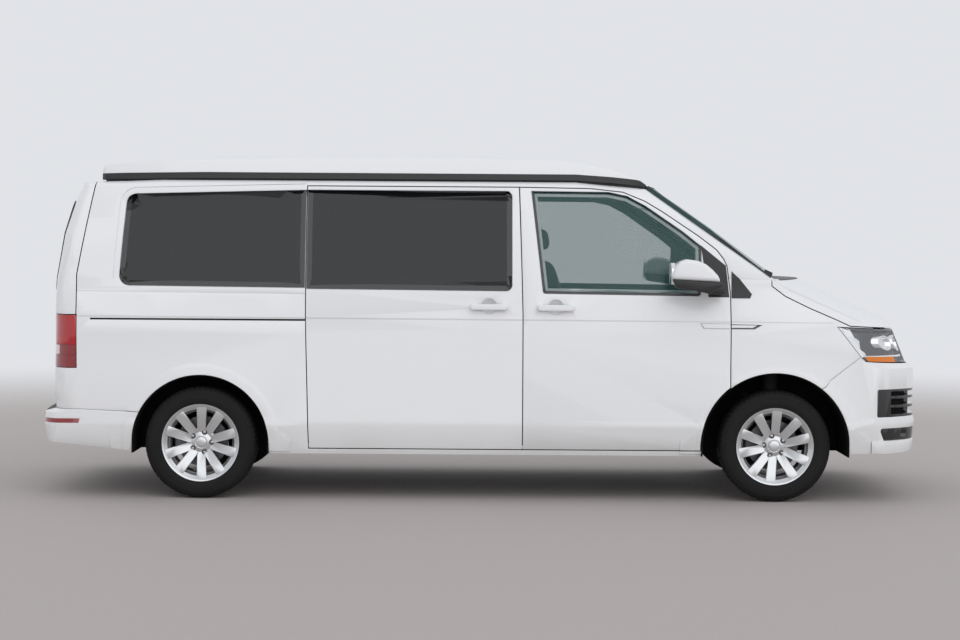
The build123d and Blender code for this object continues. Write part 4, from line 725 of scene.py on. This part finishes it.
CALIPER_PROFILE = [
    (0.104, -0.044), (0.160, -0.044), (0.168, -0.036), (0.168, -0.012), (0.160, -0.004), (0.104, -0.004),
    (0.104, -0.0095), (0.1545, -0.0095), (0.1545, -0.0385), (0.104, -0.0385), (0.104, -0.044),
]
caliper = turned("caliper", HUB, CALIPER_PROFILE, 14, math.radians(52))
only(caliper)
bpy.ops.object.mode_set(mode="EDIT")
bpy.ops.mesh.select_all(action="SELECT")
bpy.ops.transform.rotate(value=math.radians(154), orient_axis="Y", center_override=HUB)
bpy.ops.mesh.select_mode(type="EDGE")
bpy.ops.mesh.select_all(action="DESELECT")
bpy.ops.mesh.select_non_manifold()
bpy.ops.mesh.fill()
bpy.ops.mesh.select_all(action="SELECT")
bpy.ops.mesh.normals_make_consistent(inside=False)
bpy.ops.object.mode_set(mode="OBJECT")
ease(caliper, 0.002)
cast_grey = Finish("caliper_grey", "steel", (0.2, 0.2, 0.205), 0.5, metallic=0.6)
cast_grey.grain(300.0, 0.0003)
CARRIERS = {"front_right": "knuckle_right", "front_left": "knuckle_left"}
for corner, move, flip in CORNERS:
    twin = repeated(caliper, "caliper_" + corner, move, flip)
    cast_grey.cover(twin)
    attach(twin, CARRIERS.get(corner, "body"))
for model in (bolts, recesses, cap, caliper):
    bpy.data.objects.remove(model)


# Mirrors: a rounded white cap over a black lower housing and arm on each front door, with the
# silvered glass set into the side that faces back.
mirror_glass = Finish("mirror_glass", "steel", (0.85, 0.87, 0.88), 0.02, metallic=1.0)
mirror_glass.grain(20.0, 0.000001)
MIRROR_CAP = [(1.102, 1.318), (1.112, 1.372), (1.138, 1.420), (1.190, 1.437), (1.254, 1.429), (1.302, 1.409),
              (1.340, 1.378), (1.372, 1.344), (1.392, 1.304)]
MIRROR_HOUSING = [(1.105, 1.322), (1.395, 1.306), (1.400, 1.284), (1.321, 1.238), (1.220, 1.258),
                  (1.131, 1.272)]
MIRROR_ARM = [(1.330, 1.232), (1.300, 1.300), (1.395, 1.306), (1.425, 1.286), (1.430, 1.232)]
MIRROR_PANE = [(-1.120, 1.290), (-0.998, 1.290), (-0.994, 1.395), (-1.010, 1.415), (-1.095, 1.415),
               (-1.122, 1.380)]
cap_model = ease(prism("mirror_cap", MIRROR_CAP, -1.143, -0.978), 0.026, 5)
housing_model = ease(prism("mirror_housing", MIRROR_HOUSING, -1.141, -0.976), 0.010, 3)
arm_model = ease(prism("mirror_arm", MIRROR_ARM, -1.010, -0.925), 0.009, 3)
housing_model = smooth(joined("mirror_housing", housing_model, arm_model))
pane_model = ease(prism("mirror_pane", MIRROR_PANE, 1.1015, 1.125, "end"), 0.002)
for word, flip in (("right", False), ("left", True)):
    for model, finish in ((cap_model, paint), (housing_model, black), (pane_model, mirror_glass)):
        twin = repeated(model, model.name + "_" + word, 0.0, flip)
        finish.cover(twin)
        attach(twin, "door_" + word)
        if model is cap_model:
            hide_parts("mirror_" + word)
for model in (cap_model, housing_model, pane_model):
    bpy.data.objects.remove(model)


# Chassis and running gear: pressed steel and fuel tank under dark underseal, a cast engine, a
# finned radiator and a steel exhaust, seen through the arches.
underseal = Finish("underseal", "chassis", (0.03, 0.03, 0.03), 0.75)
underseal.set("Specular IOR Level", 0.2)
underseal.mottle((0.012, 0.012, 0.013), (0.03, 0.028, 0.026), 4.0, 250.0, 0.0006)
cast_alloy = Finish("cast_alloy", "engine", (0.2, 0.2, 0.205), 0.5, metallic=0.7)
cast_alloy.mottle((0.13, 0.13, 0.135), (0.27, 0.265, 0.26), 7.0, 500.0, 0.0003)
pipe_steel = Finish("pipe_steel", "steel", (0.3, 0.28, 0.26), 0.4, metallic=0.9)
pipe_steel.mottle((0.2, 0.16, 0.13), (0.42, 0.41, 0.4), 5.0, 400.0, 0.0001)
finned = Finish("radiator_fins", "engine", (0.12, 0.12, 0.125), 0.5, metallic=0.5)
finned.ridges("Z", 900.0, 0.0006)
for node in ("floor_pan", "front_subframe", "rear_axle", "knuckle_right", "knuckle_left", "fuel_tank"):
    dress(node, underseal, 0.0012)
dress("engine", cast_alloy, 0.002)
dress("radiator", finned, 0.001)
dress("exhaust", pipe_steel, 0.001)


# Cab: a grained dark dashboard with a hood over the instruments, a middle screen, slatted vents
# and a glovebox lid, and a leather steering wheel. The inner mirror hangs above it.
dash_grain = Finish("dash_grain", "dashboard", (0.03, 0.031, 0.033), 0.6)
dash_grain.mottle((0.024, 0.025, 0.027), (0.04, 0.041, 0.043), 3.0, 800.0, 0.00015)
leather = Finish("wheel_leather", "dashboard", (0.025, 0.025, 0.026), 0.5)
leather.mottle((0.02, 0.02, 0.021), (0.034, 0.033, 0.033), 12.0, 900.0, 0.0001)
screen_glass = Finish("screen_glass", "dashboard", (0.01, 0.012, 0.015), 0.06, coat=0.6)
screen_glass.grain(300.0, 0.000001)
dress("dashboard", dash_grain, 0.006)
dress("steering_wheel", leather, 0.003)


def fixed(piece, finish, body="body"):
    """Finishes a modelled piece and fixes it to a body."""
    finish.cover(piece)
    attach(piece, body)
    return piece


HOOD = [(1.300, 1.170), (1.335, 1.226), (1.365, 1.258), (1.430, 1.262), (1.520, 1.222), (1.420, 1.180)]
CLUSTER = [(1.318, 1.120), (1.345, 1.220), (1.375, 1.240), (1.350, 1.110)]
SCREEN = [(1.290, 1.105), (1.322, 1.215), (1.345, 1.208), (1.318, 1.100)]
GLOVEBOX = [(1.302, 0.905), (1.288, 1.060), (1.310, 1.060), (1.325, 0.905)]
fixed(ease(prism("instrument_hood", HOOD, 0.235, 0.625), 0.012, 3), dash_grain)
fixed(ease(prism("instrument_glass", CLUSTER, 0.265, 0.595), 0.003), screen_glass)
fixed(ease(prism("middle_screen", SCREEN, -0.135, 0.135), 0.004, 3), screen_glass)
fixed(ease(prism("glovebox_lid", GLOVEBOX, -0.68, -0.24), 0.005, 3), dash_grain)
for k, middle in enumerate((-0.705, -0.19, 0.19, 0.705)):
    slats = []
    for n in range(4):
        z = 1.118 + 0.013 * n
        x = 1.306 + 0.25 * (z - 1.118)
        blade = [(x - 0.006, z), (x - 0.004, z + 0.005), (x + 0.026, z + 0.009), (x + 0.026, z + 0.003)]
        slats.append(ease(prism("slat", blade, middle - 0.045, middle + 0.045), 0.0008, 1))
    fixed(joined(f"air_vent_{k}", *slats), gloss_black)
INNER_MIRROR = [(-0.125, 1.640), (-0.105, 1.618), (0.105, 1.618), (0.125, 1.640), (0.115, 1.690),
                (-0.115, 1.690)]
mirror_foot = [(1.215, 1.685), (1.245, 1.700), (1.262, 1.655), (1.225, 1.650)]
inner_mirror = ease(prism("inner_mirror", INNER_MIRROR, 1.212, 1.236, "end"), 0.006, 3)
inner_foot = ease(prism("foot", mirror_foot, -0.014, 0.014), 0.003)
inner_mirror = smooth(joined("inner_mirror", inner_mirror, inner_foot))
fixed(inner_mirror, black)
mirror_glass.mark(inner_mirror, lambda centre, normal: normal.x < -0.9 and centre.x < 1.2125)


# Seats: foam pads in charcoal and black cloth over a moulded base. Each pad is a drawn shape,
# swollen as cloth under pressure, and its sewn channels are pulled into it afterwards.
cloth_grey = Finish("seat_cloth", "seat_fabric", (0.06, 0.062, 0.066), 0.92)
weave = (cloth_grey.place.axis("X") * 1800.0 + cloth_grey.place.axis("Z") * 1300.0).maths("SINE") \
    * (cloth_grey.place.axis("Y") * 1800.0).maths("SINE")
cloth_grey.set("Base Color", (weave * 0.25 + cloth_grey.place.noise(8.0, 4.0)).between(
    (0.035, 0.037, 0.04), (0.09, 0.093, 0.1)))
cloth_grey.bump(weave * 0.0003 + cloth_grey.place.noise(30.0) * 0.0006)
bolster = Finish("bolster_cloth", "seat_fabric", (0.02, 0.02, 0.022), 0.85)
bolster.mottle((0.015, 0.015, 0.017), (0.032, 0.032, 0.034), 8.0, 900.0, 0.0002)
PAD_VOXEL = 0.011
PAD_SWELL = 0.014
PAD_PRESSURE = 4.0
CLOTH_FRAMES = 20
CHANNEL = (0.007, 0.008)
pads = []


def pad(name, outline, low, high):
    """A closed pad ready to swell: a prism with rounded edges, remeshed to even quads."""
    piece = ease(prism(name, outline, low, high), 0.022, 3)
    only(piece)
    piece.data.remesh_voxel_size = PAD_VOXEL
    bpy.ops.object.voxel_remesh()
    pads.append(piece)
    return piece


def swell(pieces):
    """Blows the pads up as cloth with no gravity, holding each point near its drawn place."""
    for piece in pieces:
        cloth = piece.modifiers.new("cloth", "CLOTH")
        cloth.settings.use_pressure = True
        cloth.settings.uniform_pressure_force = PAD_PRESSURE
        cloth.settings.quality = 4
        cloth.settings.effector_weights.gravity = 0
        cloth.point_cache.frame_start = 1
        cloth.point_cache.frame_end = CLOTH_FRAMES
    for step in range(1, CLOTH_FRAMES + 1):
        bpy.context.scene.frame_set(step)
    for piece in pieces:
        drawn = [vertex.co.copy() for vertex in piece.data.vertices]
        only(piece)
        bpy.ops.object.modifier_apply(modifier="cloth")
        for vertex, place in zip(piece.data.vertices, drawn):
            move = vertex.co - place
            if move.length > PAD_SWELL:
                vertex.co = place + move.normalized() * PAD_SWELL
    bpy.context.scene.frame_set(1)


SEAT_Y = 0.43
PAD_HALF = 0.222
CUSHION = [(1.018, 0.890), (1.010, 0.812), (0.965, 0.790), (0.600, 0.790), (0.560, 0.830), (0.620, 0.886),
           (0.760, 0.876)]
BACKREST = [(0.500, 0.820), (0.418, 1.090), (0.350, 1.370), (0.360, 1.425), (0.408, 1.425), (0.424, 1.392),
            (0.504, 1.150), (0.575, 0.940), (0.585, 0.850)]
HEADREST = [(0.352, 1.480), (0.318, 1.585), (0.335, 1.608), (0.384, 1.606), (0.398, 1.592), (0.408, 1.490)]
BENCH_CUSHION = [(-0.635, 0.880), (-0.638, 0.806), (-0.680, 0.792), (-1.150, 0.792), (-1.190, 0.880),
                 (-1.110, 0.905)]
BENCH_BACK = [(-1.215, 0.850), (-1.238, 0.910), (-1.318, 1.390), (-1.306, 1.545), (-1.262, 1.545),
              (-1.222, 1.400), (-1.140, 0.930), (-1.160, 0.840)]
front_cushion = pad("seat_cushion", CUSHION, -SEAT_Y - PAD_HALF, -SEAT_Y + PAD_HALF)
front_back = pad("seat_back", BACKREST, -SEAT_Y - PAD_HALF + 0.004, -SEAT_Y + PAD_HALF - 0.004)
front_head = pad("seat_headrest", HEADREST, -SEAT_Y - 0.118, -SEAT_Y + 0.118)
bench_pads = [
    pad("bench_cushion", BENCH_CUSHION, -0.318, 0.558),
    pad("bench_back", BENCH_BACK, -0.314, 0.554),
]
swell(pads)


SIDE_SEAM = 0.150
MIDDLE_PANEL = 0.146


def cross_seam(place, axis, seams):
    """The distance to the nearest seam across a front seat's middle panel, or 1 beside the panel."""
    if abs(place.y + SEAT_Y) < MIDDLE_PANEL:
        return min(abs(place[axis] - seam) for seam in seams)
    return 1.0


def channel(piece, distance):
    """Pulls a sewn channel in where a distance is small, along the surface's normal."""
    depth, width = CHANNEL
    normals = [vertex.normal.copy() for vertex in piece.data.vertices]
    for vertex, normal in zip(piece.data.vertices, normals):
        vertex.co -= normal * depth * math.exp(-(distance(vertex.co) / width) ** 2)


for piece in pads:
    apply(piece, "SUBSURF", levels=1, render_levels=1)
for piece, axis, seams in ((front_cushion, 0, (0.70, 0.86)), (front_back, 2, (1.02, 1.24))):
    channel(piece, lambda place: abs(place.y + SEAT_Y) - SIDE_SEAM)
    channel(piece, lambda place: cross_seam(place, axis, seams))
channel(front_cushion, lambda place: place.z - 0.845)
for piece in bench_pads:
    channel(piece, lambda place: place.y - 0.12)
channel(bench_pads[0], lambda place: place.z - 0.842)
channel(front_head, lambda place: abs(place.y + SEAT_Y) - 0.095)


def dressed_pad(piece, middle, half):
    """Covers a pad in cloth, darker outside its middle panels, and fixes it."""
    smooth(piece, math.radians(60))
    cloth_grey.cover(piece)
    bolster.mark(piece, lambda centre, normal: abs(centre.y - middle) > half)
    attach(piece, "body")
    return piece


for piece, fill, half in ((front_cushion, 0.7, 0.15), (front_back, 0.7, 0.15), (front_head, 0.8, 0.2)):
    twin = repeated(piece, piece.name + "_left", 0.0, True)
    dressed_pad(piece, -SEAT_Y, half)
    dressed_pad(twin, SEAT_Y, half)
for piece in bench_pads:
    dressed_pad(piece, 0.12, 0.40)
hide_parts("front_seats")
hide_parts("rear_bench")
SEAT_BASE = [(0.985, 0.472), (0.985, 0.760), (1.000, 0.796), (0.570, 0.796), (0.575, 0.760), (0.575, 0.472)]
BENCH_BASE = [(-0.662, 0.472), (-0.662, 0.780), (-0.690, 0.798), (-1.170, 0.798), (-1.178, 0.780),
              (-1.178, 0.472)]
RECLINER = [(0.50, 0.80), (0.49, 0.87), (0.58, 0.90), (0.64, 0.80)]


def rounded(a, b, radius, corners):
    """The outline of a round rod or knob round a middle."""
    turns = [math.radians(360 / corners * n) for n in range(corners)]
    return [(a + radius * math.cos(turn), b + radius * math.sin(turn)) for turn in turns]


for word, y in (("right", -SEAT_Y), ("left", SEAT_Y)):
    base = ease(prism("seat_base", SEAT_BASE, y - 0.215, y + 0.215), 0.012, 3)
    hinge = ease(prism("recliner", RECLINER, y - 0.238, y + 0.238), 0.012, 3)
    posts = [ease(prism("post", rounded(0.372, y + d, 0.006, 8), 1.40, 1.50, "top"), 0.001)
             for d in (-0.07, 0.07)]
    fixed(smooth(joined("seat_base_" + word, base, hinge)), black)
    fixed(smooth(joined("headrest_posts_" + word, *posts)), chrome)
fixed(ease(prism("bench_base", BENCH_BASE, -0.315, 0.555), 0.012, 3), black)


# Kitchen unit: a light laminate cupboard along the left side with a dark worktop, and a round
# steel catch at the top of each door.
laminate = Finish("cupboard_laminate", "furniture", (0.42, 0.41, 0.39), 0.5)
grain = laminate.place.node("VectorMath", {"operation": "MULTIPLY"},
                            {0: laminate.place, 1: (2.0, 30.0, 30.0)})
laminate.set("Base Color", grain.noise(3.0, 5.0).between((0.34, 0.33, 0.31), (0.50, 0.49, 0.47)))
laminate.bump(grain.noise(8.0) * 0.0001)
worktop = Finish("worktop", "furniture", (0.1, 0.1, 0.1), 0.35)
worktop.mottle((0.06, 0.06, 0.062), (0.16, 0.158, 0.155), 120.0, 900.0, 0.00003)
brushed = Finish("brushed_steel", "steel", (0.55, 0.55, 0.56), 0.3, metallic=1.0)
brushed.ridges("Y", 5000.0, 0.000004)
unit = dress("kitchen_unit", laminate, 0.003)
worktop.mark(unit, lambda centre, normal: normal.z > 0.9 and centre.z > 1.2)
catches = []
for x in (-0.97, -0.58, -0.19):
    catches.append(ease(prism("catch", rounded(x, 1.12, 0.014, 12), 0.462, 0.480), 0.003))
fixed(smooth(joined("cupboard_catches", *catches)), brushed)


# Wipers and rear plate: tapered black wipers parked at the foot of the windscreen and on the rear
# pane, and a blank white plate. Rays cast on the finished panels tell how far out they stand.
plate_white = Finish("plate_white", "body_paint", (0.68, 0.68, 0.67), 0.4)
plate_white.grain(500.0, 0.00001)


def wiper(name, points, width, body):
    """A tapered arm that follows points in space, widest at its pivot."""
    pieces = []
    for i, (start, end) in enumerate(zip(points, points[1:])):
        start, end = Vector(start), Vector(end)
        across = (end - start).cross(Vector((0, 0, 1))).normalized() * width * (1.0 - 0.25 * i)
        corners = [start - across, start + across, end + across * 0.7, end - across * 0.7]
        part = prism("arm", [(c.x, c.y) for c in corners], -0.006, 0.006, "top")
        for vertex, corner in zip(part.data.vertices, corners + corners):
            vertex.co.z += corner.z
        pieces.append(ease(part, 0.002))
    return fixed(smooth(joined(name, *pieces)), black, body)


def lifted(points, name, gap, end=-1):
    """How far along the van a finished panel's outside stands at some (y, z), with a gap added."""
    bpy.context.view_layer.update()
    panel = bpy.data.objects[name]
    rays = [panel.ray_cast(Vector((4 * end, y, z)), Vector((-end, 0, 0))) for y, z in points]
    return [place.x + end * gap for _, place, _, _ in rays]


for word, pivot in (("right", -0.06), ("left", 0.66)):
    line = [(pivot, 1.334), (pivot - 0.26, 1.350), (pivot - 0.56, 1.352)]
    depths = lifted(line, "windscreen_finished", 0.012, 1)
    wiper("front_wiper_" + word, [(x, y, z) for x, (y, z) in zip(depths, line)], 0.010, "body")


REAR_WIPER = [(0.0, 1.232), (0.12, 1.262), (0.42, 1.290)]
depths = lifted(REAR_WIPER, "tailgate_glass_finished", 0.014)
wiper("rear_wiper", [(x, y, z) for x, (y, z) in zip(depths, REAR_WIPER)], 0.010, "tailgate")
PLATE = [(-0.26, 0.82), (0.26, 0.82), (0.26, 0.93), (-0.26, 0.93)]
depth = min(lifted([(0.0, 0.875), (0.25, 0.83), (-0.25, 0.92)], "tailgate_finished", 0.0))
rear_plate = ease(prism("rear_plate", PLATE, depth - 0.006, depth + 0.004, "end"), 0.002)
fixed(rear_plate, plate_white, "tailgate")


# Nose backing and lip: a dark wall behind the bumper's openings, and a painted corner on each side
# under the lowest grille, with an underside that rises towards the middle.
BACKING = [(2.585, 0.0), (2.555, 0.40), (2.525, 0.60), (2.495, 0.70), (2.455, 0.80), (2.400, 0.87),
           (2.320, 0.920)]
BACKING_SPAN = (0.372, 0.808)
front = [(x, y) for x, y in BACKING[::-1]] + [(x, -y) for x, y in BACKING[1:]]
backing = prism("nose_backing", front + [(x - 0.006, y) for x, y in front[::-1]], *BACKING_SPAN, "top")
fixed(smooth(backing), felt)

LIP = [(2.592, 0.545), (2.577, 0.60), (2.550, 0.70), (2.522, 0.78), (2.482, 0.84), (2.432, 0.895),
       (2.385, 0.930)]
LIP_SPAN = (0.292, 0.347)
LIP_DEPTH = 0.075
LIP_RISE = 0.030
for word, side in (("right", -1), ("left", 1)):
    outline = [(x, side * y) for x, y in LIP] + [(x - LIP_DEPTH, side * y) for x, y in LIP[::-1]]
    lip = prism("nose_lip_" + word, outline, *LIP_SPAN, "top")
    for vertex in lip.data.vertices:
        if vertex.co.z < LIP_SPAN[0] + 0.001:
            vertex.co.z += LIP_RISE * min(1.0, max(0.0, (0.82 - abs(vertex.co.y)) / 0.27))
    fixed(ease(lip, 0.004), paint)


# Nose and tail: the bumpers, lids and lamps are fuller at the nose's corners and rounder at the
# tail's than their construction solids, so one field draws the finished pieces there. The rear
# pane's side edges are pulled in, and the rising roof's rear end is stretched.
def eased(value, start, end):
    """A soft step from 0 to 1 between two values."""
    t = min(1.0, max(0.0, (value - start) / (end - start)))
    return t * t * (3 - 2 * t)


NOSE_GAIN = ((0.0, 0.050), (0.80, 0.050), (0.86, 0.030), (1.00, 0.026), (1.05, 0.012), (1.15, 0.0),
             (2.5, 0.0))
TAIL_GAIN = ((0.0, 0.024), (0.56, 0.024), (0.62, 0.013), (1.05, 0.010), (1.20, 0.0), (2.5, 0.0))
NOSE_HEIGHTS = ((0.0, 0.0), (0.30, 0.30), (0.346, 0.368), (0.400, 0.442), (0.487, 0.508), (0.648, 0.673),
                (0.790, 0.795), (0.812, 0.812), (2.5, 2.5))
NOSE_X = (2.05, 2.45)
NOSE_WIDE = (0.68, 0.952)
OPENINGS_X = (2.15, 2.33)
TAIL_X = (2.25, 2.55)
TAIL_WIDE = 0.79


def on_line(value, corners):
    """The height of a run of straight lines at a value."""
    for (x0, y0), (x1, y1) in zip(corners, corners[1:]):
        if value <= x1:
            return y0 + (y1 - y0) * (value - x0) / (x1 - x0)
    return corners[-1][1]


def drawn_out(piece, lower_nose):
    """Moves the vertices of a piece by the nose's and the tail's fields."""
    for vertex in piece.data.vertices:
        place = vertex.co
        wide = abs(place.y)
        if place.x > NOSE_X[0]:
            full, none = NOSE_WIDE
            side_share = (wide / full) ** 2 if wide < full else 1.0 - eased(wide, full, none)
            gain = on_line(place.z, NOSE_GAIN) * side_share * eased(place.x, *NOSE_X)
            if lower_nose:
                place.z += (on_line(place.z, NOSE_HEIGHTS) - place.z) * eased(place.x, *OPENINGS_X)
            place.x += gain
        elif place.x < -TAIL_X[0]:
            gain = on_line(place.z, TAIL_GAIN) * min(1.0, (wide / TAIL_WIDE) ** 2)
            place.x += gain * eased(-place.x, *TAIL_X)
    piece.data.update()


LOWER_NOSE = ("front_bumper_finished", "grilles_finished", "nose_lip_right", "nose_lip_left")
SHAPED = LOWER_NOSE + (
    "nose_backing", "headlamps_finished", "headlamp_lenses_finished", "bonnet_finished", "fenders_finished",
    "amber_strip_right", "amber_strip_left", "rear_bumper_finished", "tailgate_finished",
    "tailgate_glass_finished", "tail_lamps_finished", "side_right_finished",
    "side_left_finished", "reflector_right", "reflector_left", "high_brake_lamp",
    "rubber_seals_finished",
)
for name in SHAPED:
    drawn_out(bpy.data.objects[name], name in LOWER_NOSE)
PANE_PULL = 0.016
PANE_PULL_Y = (0.50, 0.66)
rear_pane = bpy.data.objects["tailgate_glass_finished"]
for vertex in rear_pane.data.vertices:
    vertex.co.x += PANE_PULL * eased(abs(vertex.co.y), *PANE_PULL_Y)
POP_TOP_STRETCH = 0.016
POP_TOP_X = (1.9, 2.2)
for name in ("pop_top_finished", "pop_top_band_finished"):
    for vertex in bpy.data.objects[name].data.vertices:
        vertex.co.x -= POP_TOP_STRETCH * eased(-vertex.co.x, *POP_TOP_X)


# Stage: a pale floor that fades into a pale background, soft light from above and round the
# van, and the camera at the photograph's angle.
FLOOR_R = 16.0
bpy.ops.object.select_all(action="DESELECT")
bpy.ops.mesh.primitive_circle_add(vertices=96, radius=FLOOR_R, fill_type="NGON")
floor = bpy.context.object
floor.name = "floor"
ground = Finish("pale_floor", "chassis", (0.46, 0.42, 0.40), 0.85)
ground.bump(ground.place.noise(40.0, 6.0) * 0.002)
floor.data.materials.append(ground.material)
FADE = (9.5, 8.0)
tree = ground.material.node_tree
distance = ground.place.node("VectorMath", {"operation": "LENGTH"}, {0: ground.place}, output=1)
fade = Shade(tree, tree.nodes.new("ShaderNodeBsdfTransparent").outputs[0])
opaque = Shade(tree, ground.shader.outputs[0])
mixed = distance.node("MixShader", (), {0: distance.above(*FADE), 1: opaque, 2: fade})
tree.links.new(mixed.socket, tree.nodes["Material Output"].inputs["Surface"])

world = bpy.data.worlds.new("studio")
bpy.context.scene.world = world
world.use_nodes = True
sky = world.node_tree.nodes["Background"]
path = world.node_tree.nodes.new("ShaderNodeLightPath")
rays = [Shade(world.node_tree, path.outputs[name]) for name in (
    "Is Camera Ray", "Is Glossy Ray", "Is Transmission Ray")]
seen = rays[0].maths("MAXIMUM", rays[1]).maths("MAXIMUM", rays[2])
SKY_LIGHT = 0.82
SKY_SEEN = 0.80
world.node_tree.links.new((seen * (SKY_SEEN - SKY_LIGHT) + SKY_LIGHT).socket, sky.inputs["Strength"])
sky.inputs["Color"].default_value = (0.94, 0.96, 1.0, 1)

SUN_ENERGY = 0.78
SUN_PLACE = (0.35, -1.0, 0.5)
SUN_SPREAD = math.radians(70)
sun_data = bpy.data.lights.new("soft_sun", "SUN")
sun_data.energy = SUN_ENERGY
sun_data.angle = SUN_SPREAD
sun = bpy.data.objects.new("soft_sun", sun_data)
bpy.context.scene.collection.objects.link(sun)
sun.rotation_euler = (-Vector(SUN_PLACE)).to_track_quat("-Z", "Y").to_euler()

CAMERA_PLACE = (-0.010, -13.45, 1.539)
CAMERA_PITCH = 2.15
CAMERA_ROLL = -0.4
CAMERA_LENS = 79.7
SENSOR_WIDTH = 36.0
camera_data = bpy.data.cameras.new("photo_camera")
camera_data.lens = CAMERA_LENS
camera_data.sensor_width = SENSOR_WIDTH
camera = bpy.data.objects.new("photo_camera", camera_data)
bpy.context.scene.collection.objects.link(camera)
camera.location = CAMERA_PLACE
camera.rotation_euler = (math.radians(90 - CAMERA_PITCH), math.radians(CAMERA_ROLL), 0)
bpy.context.scene.camera = camera
bpy.context.scene.view_settings.view_transform = "Standard"
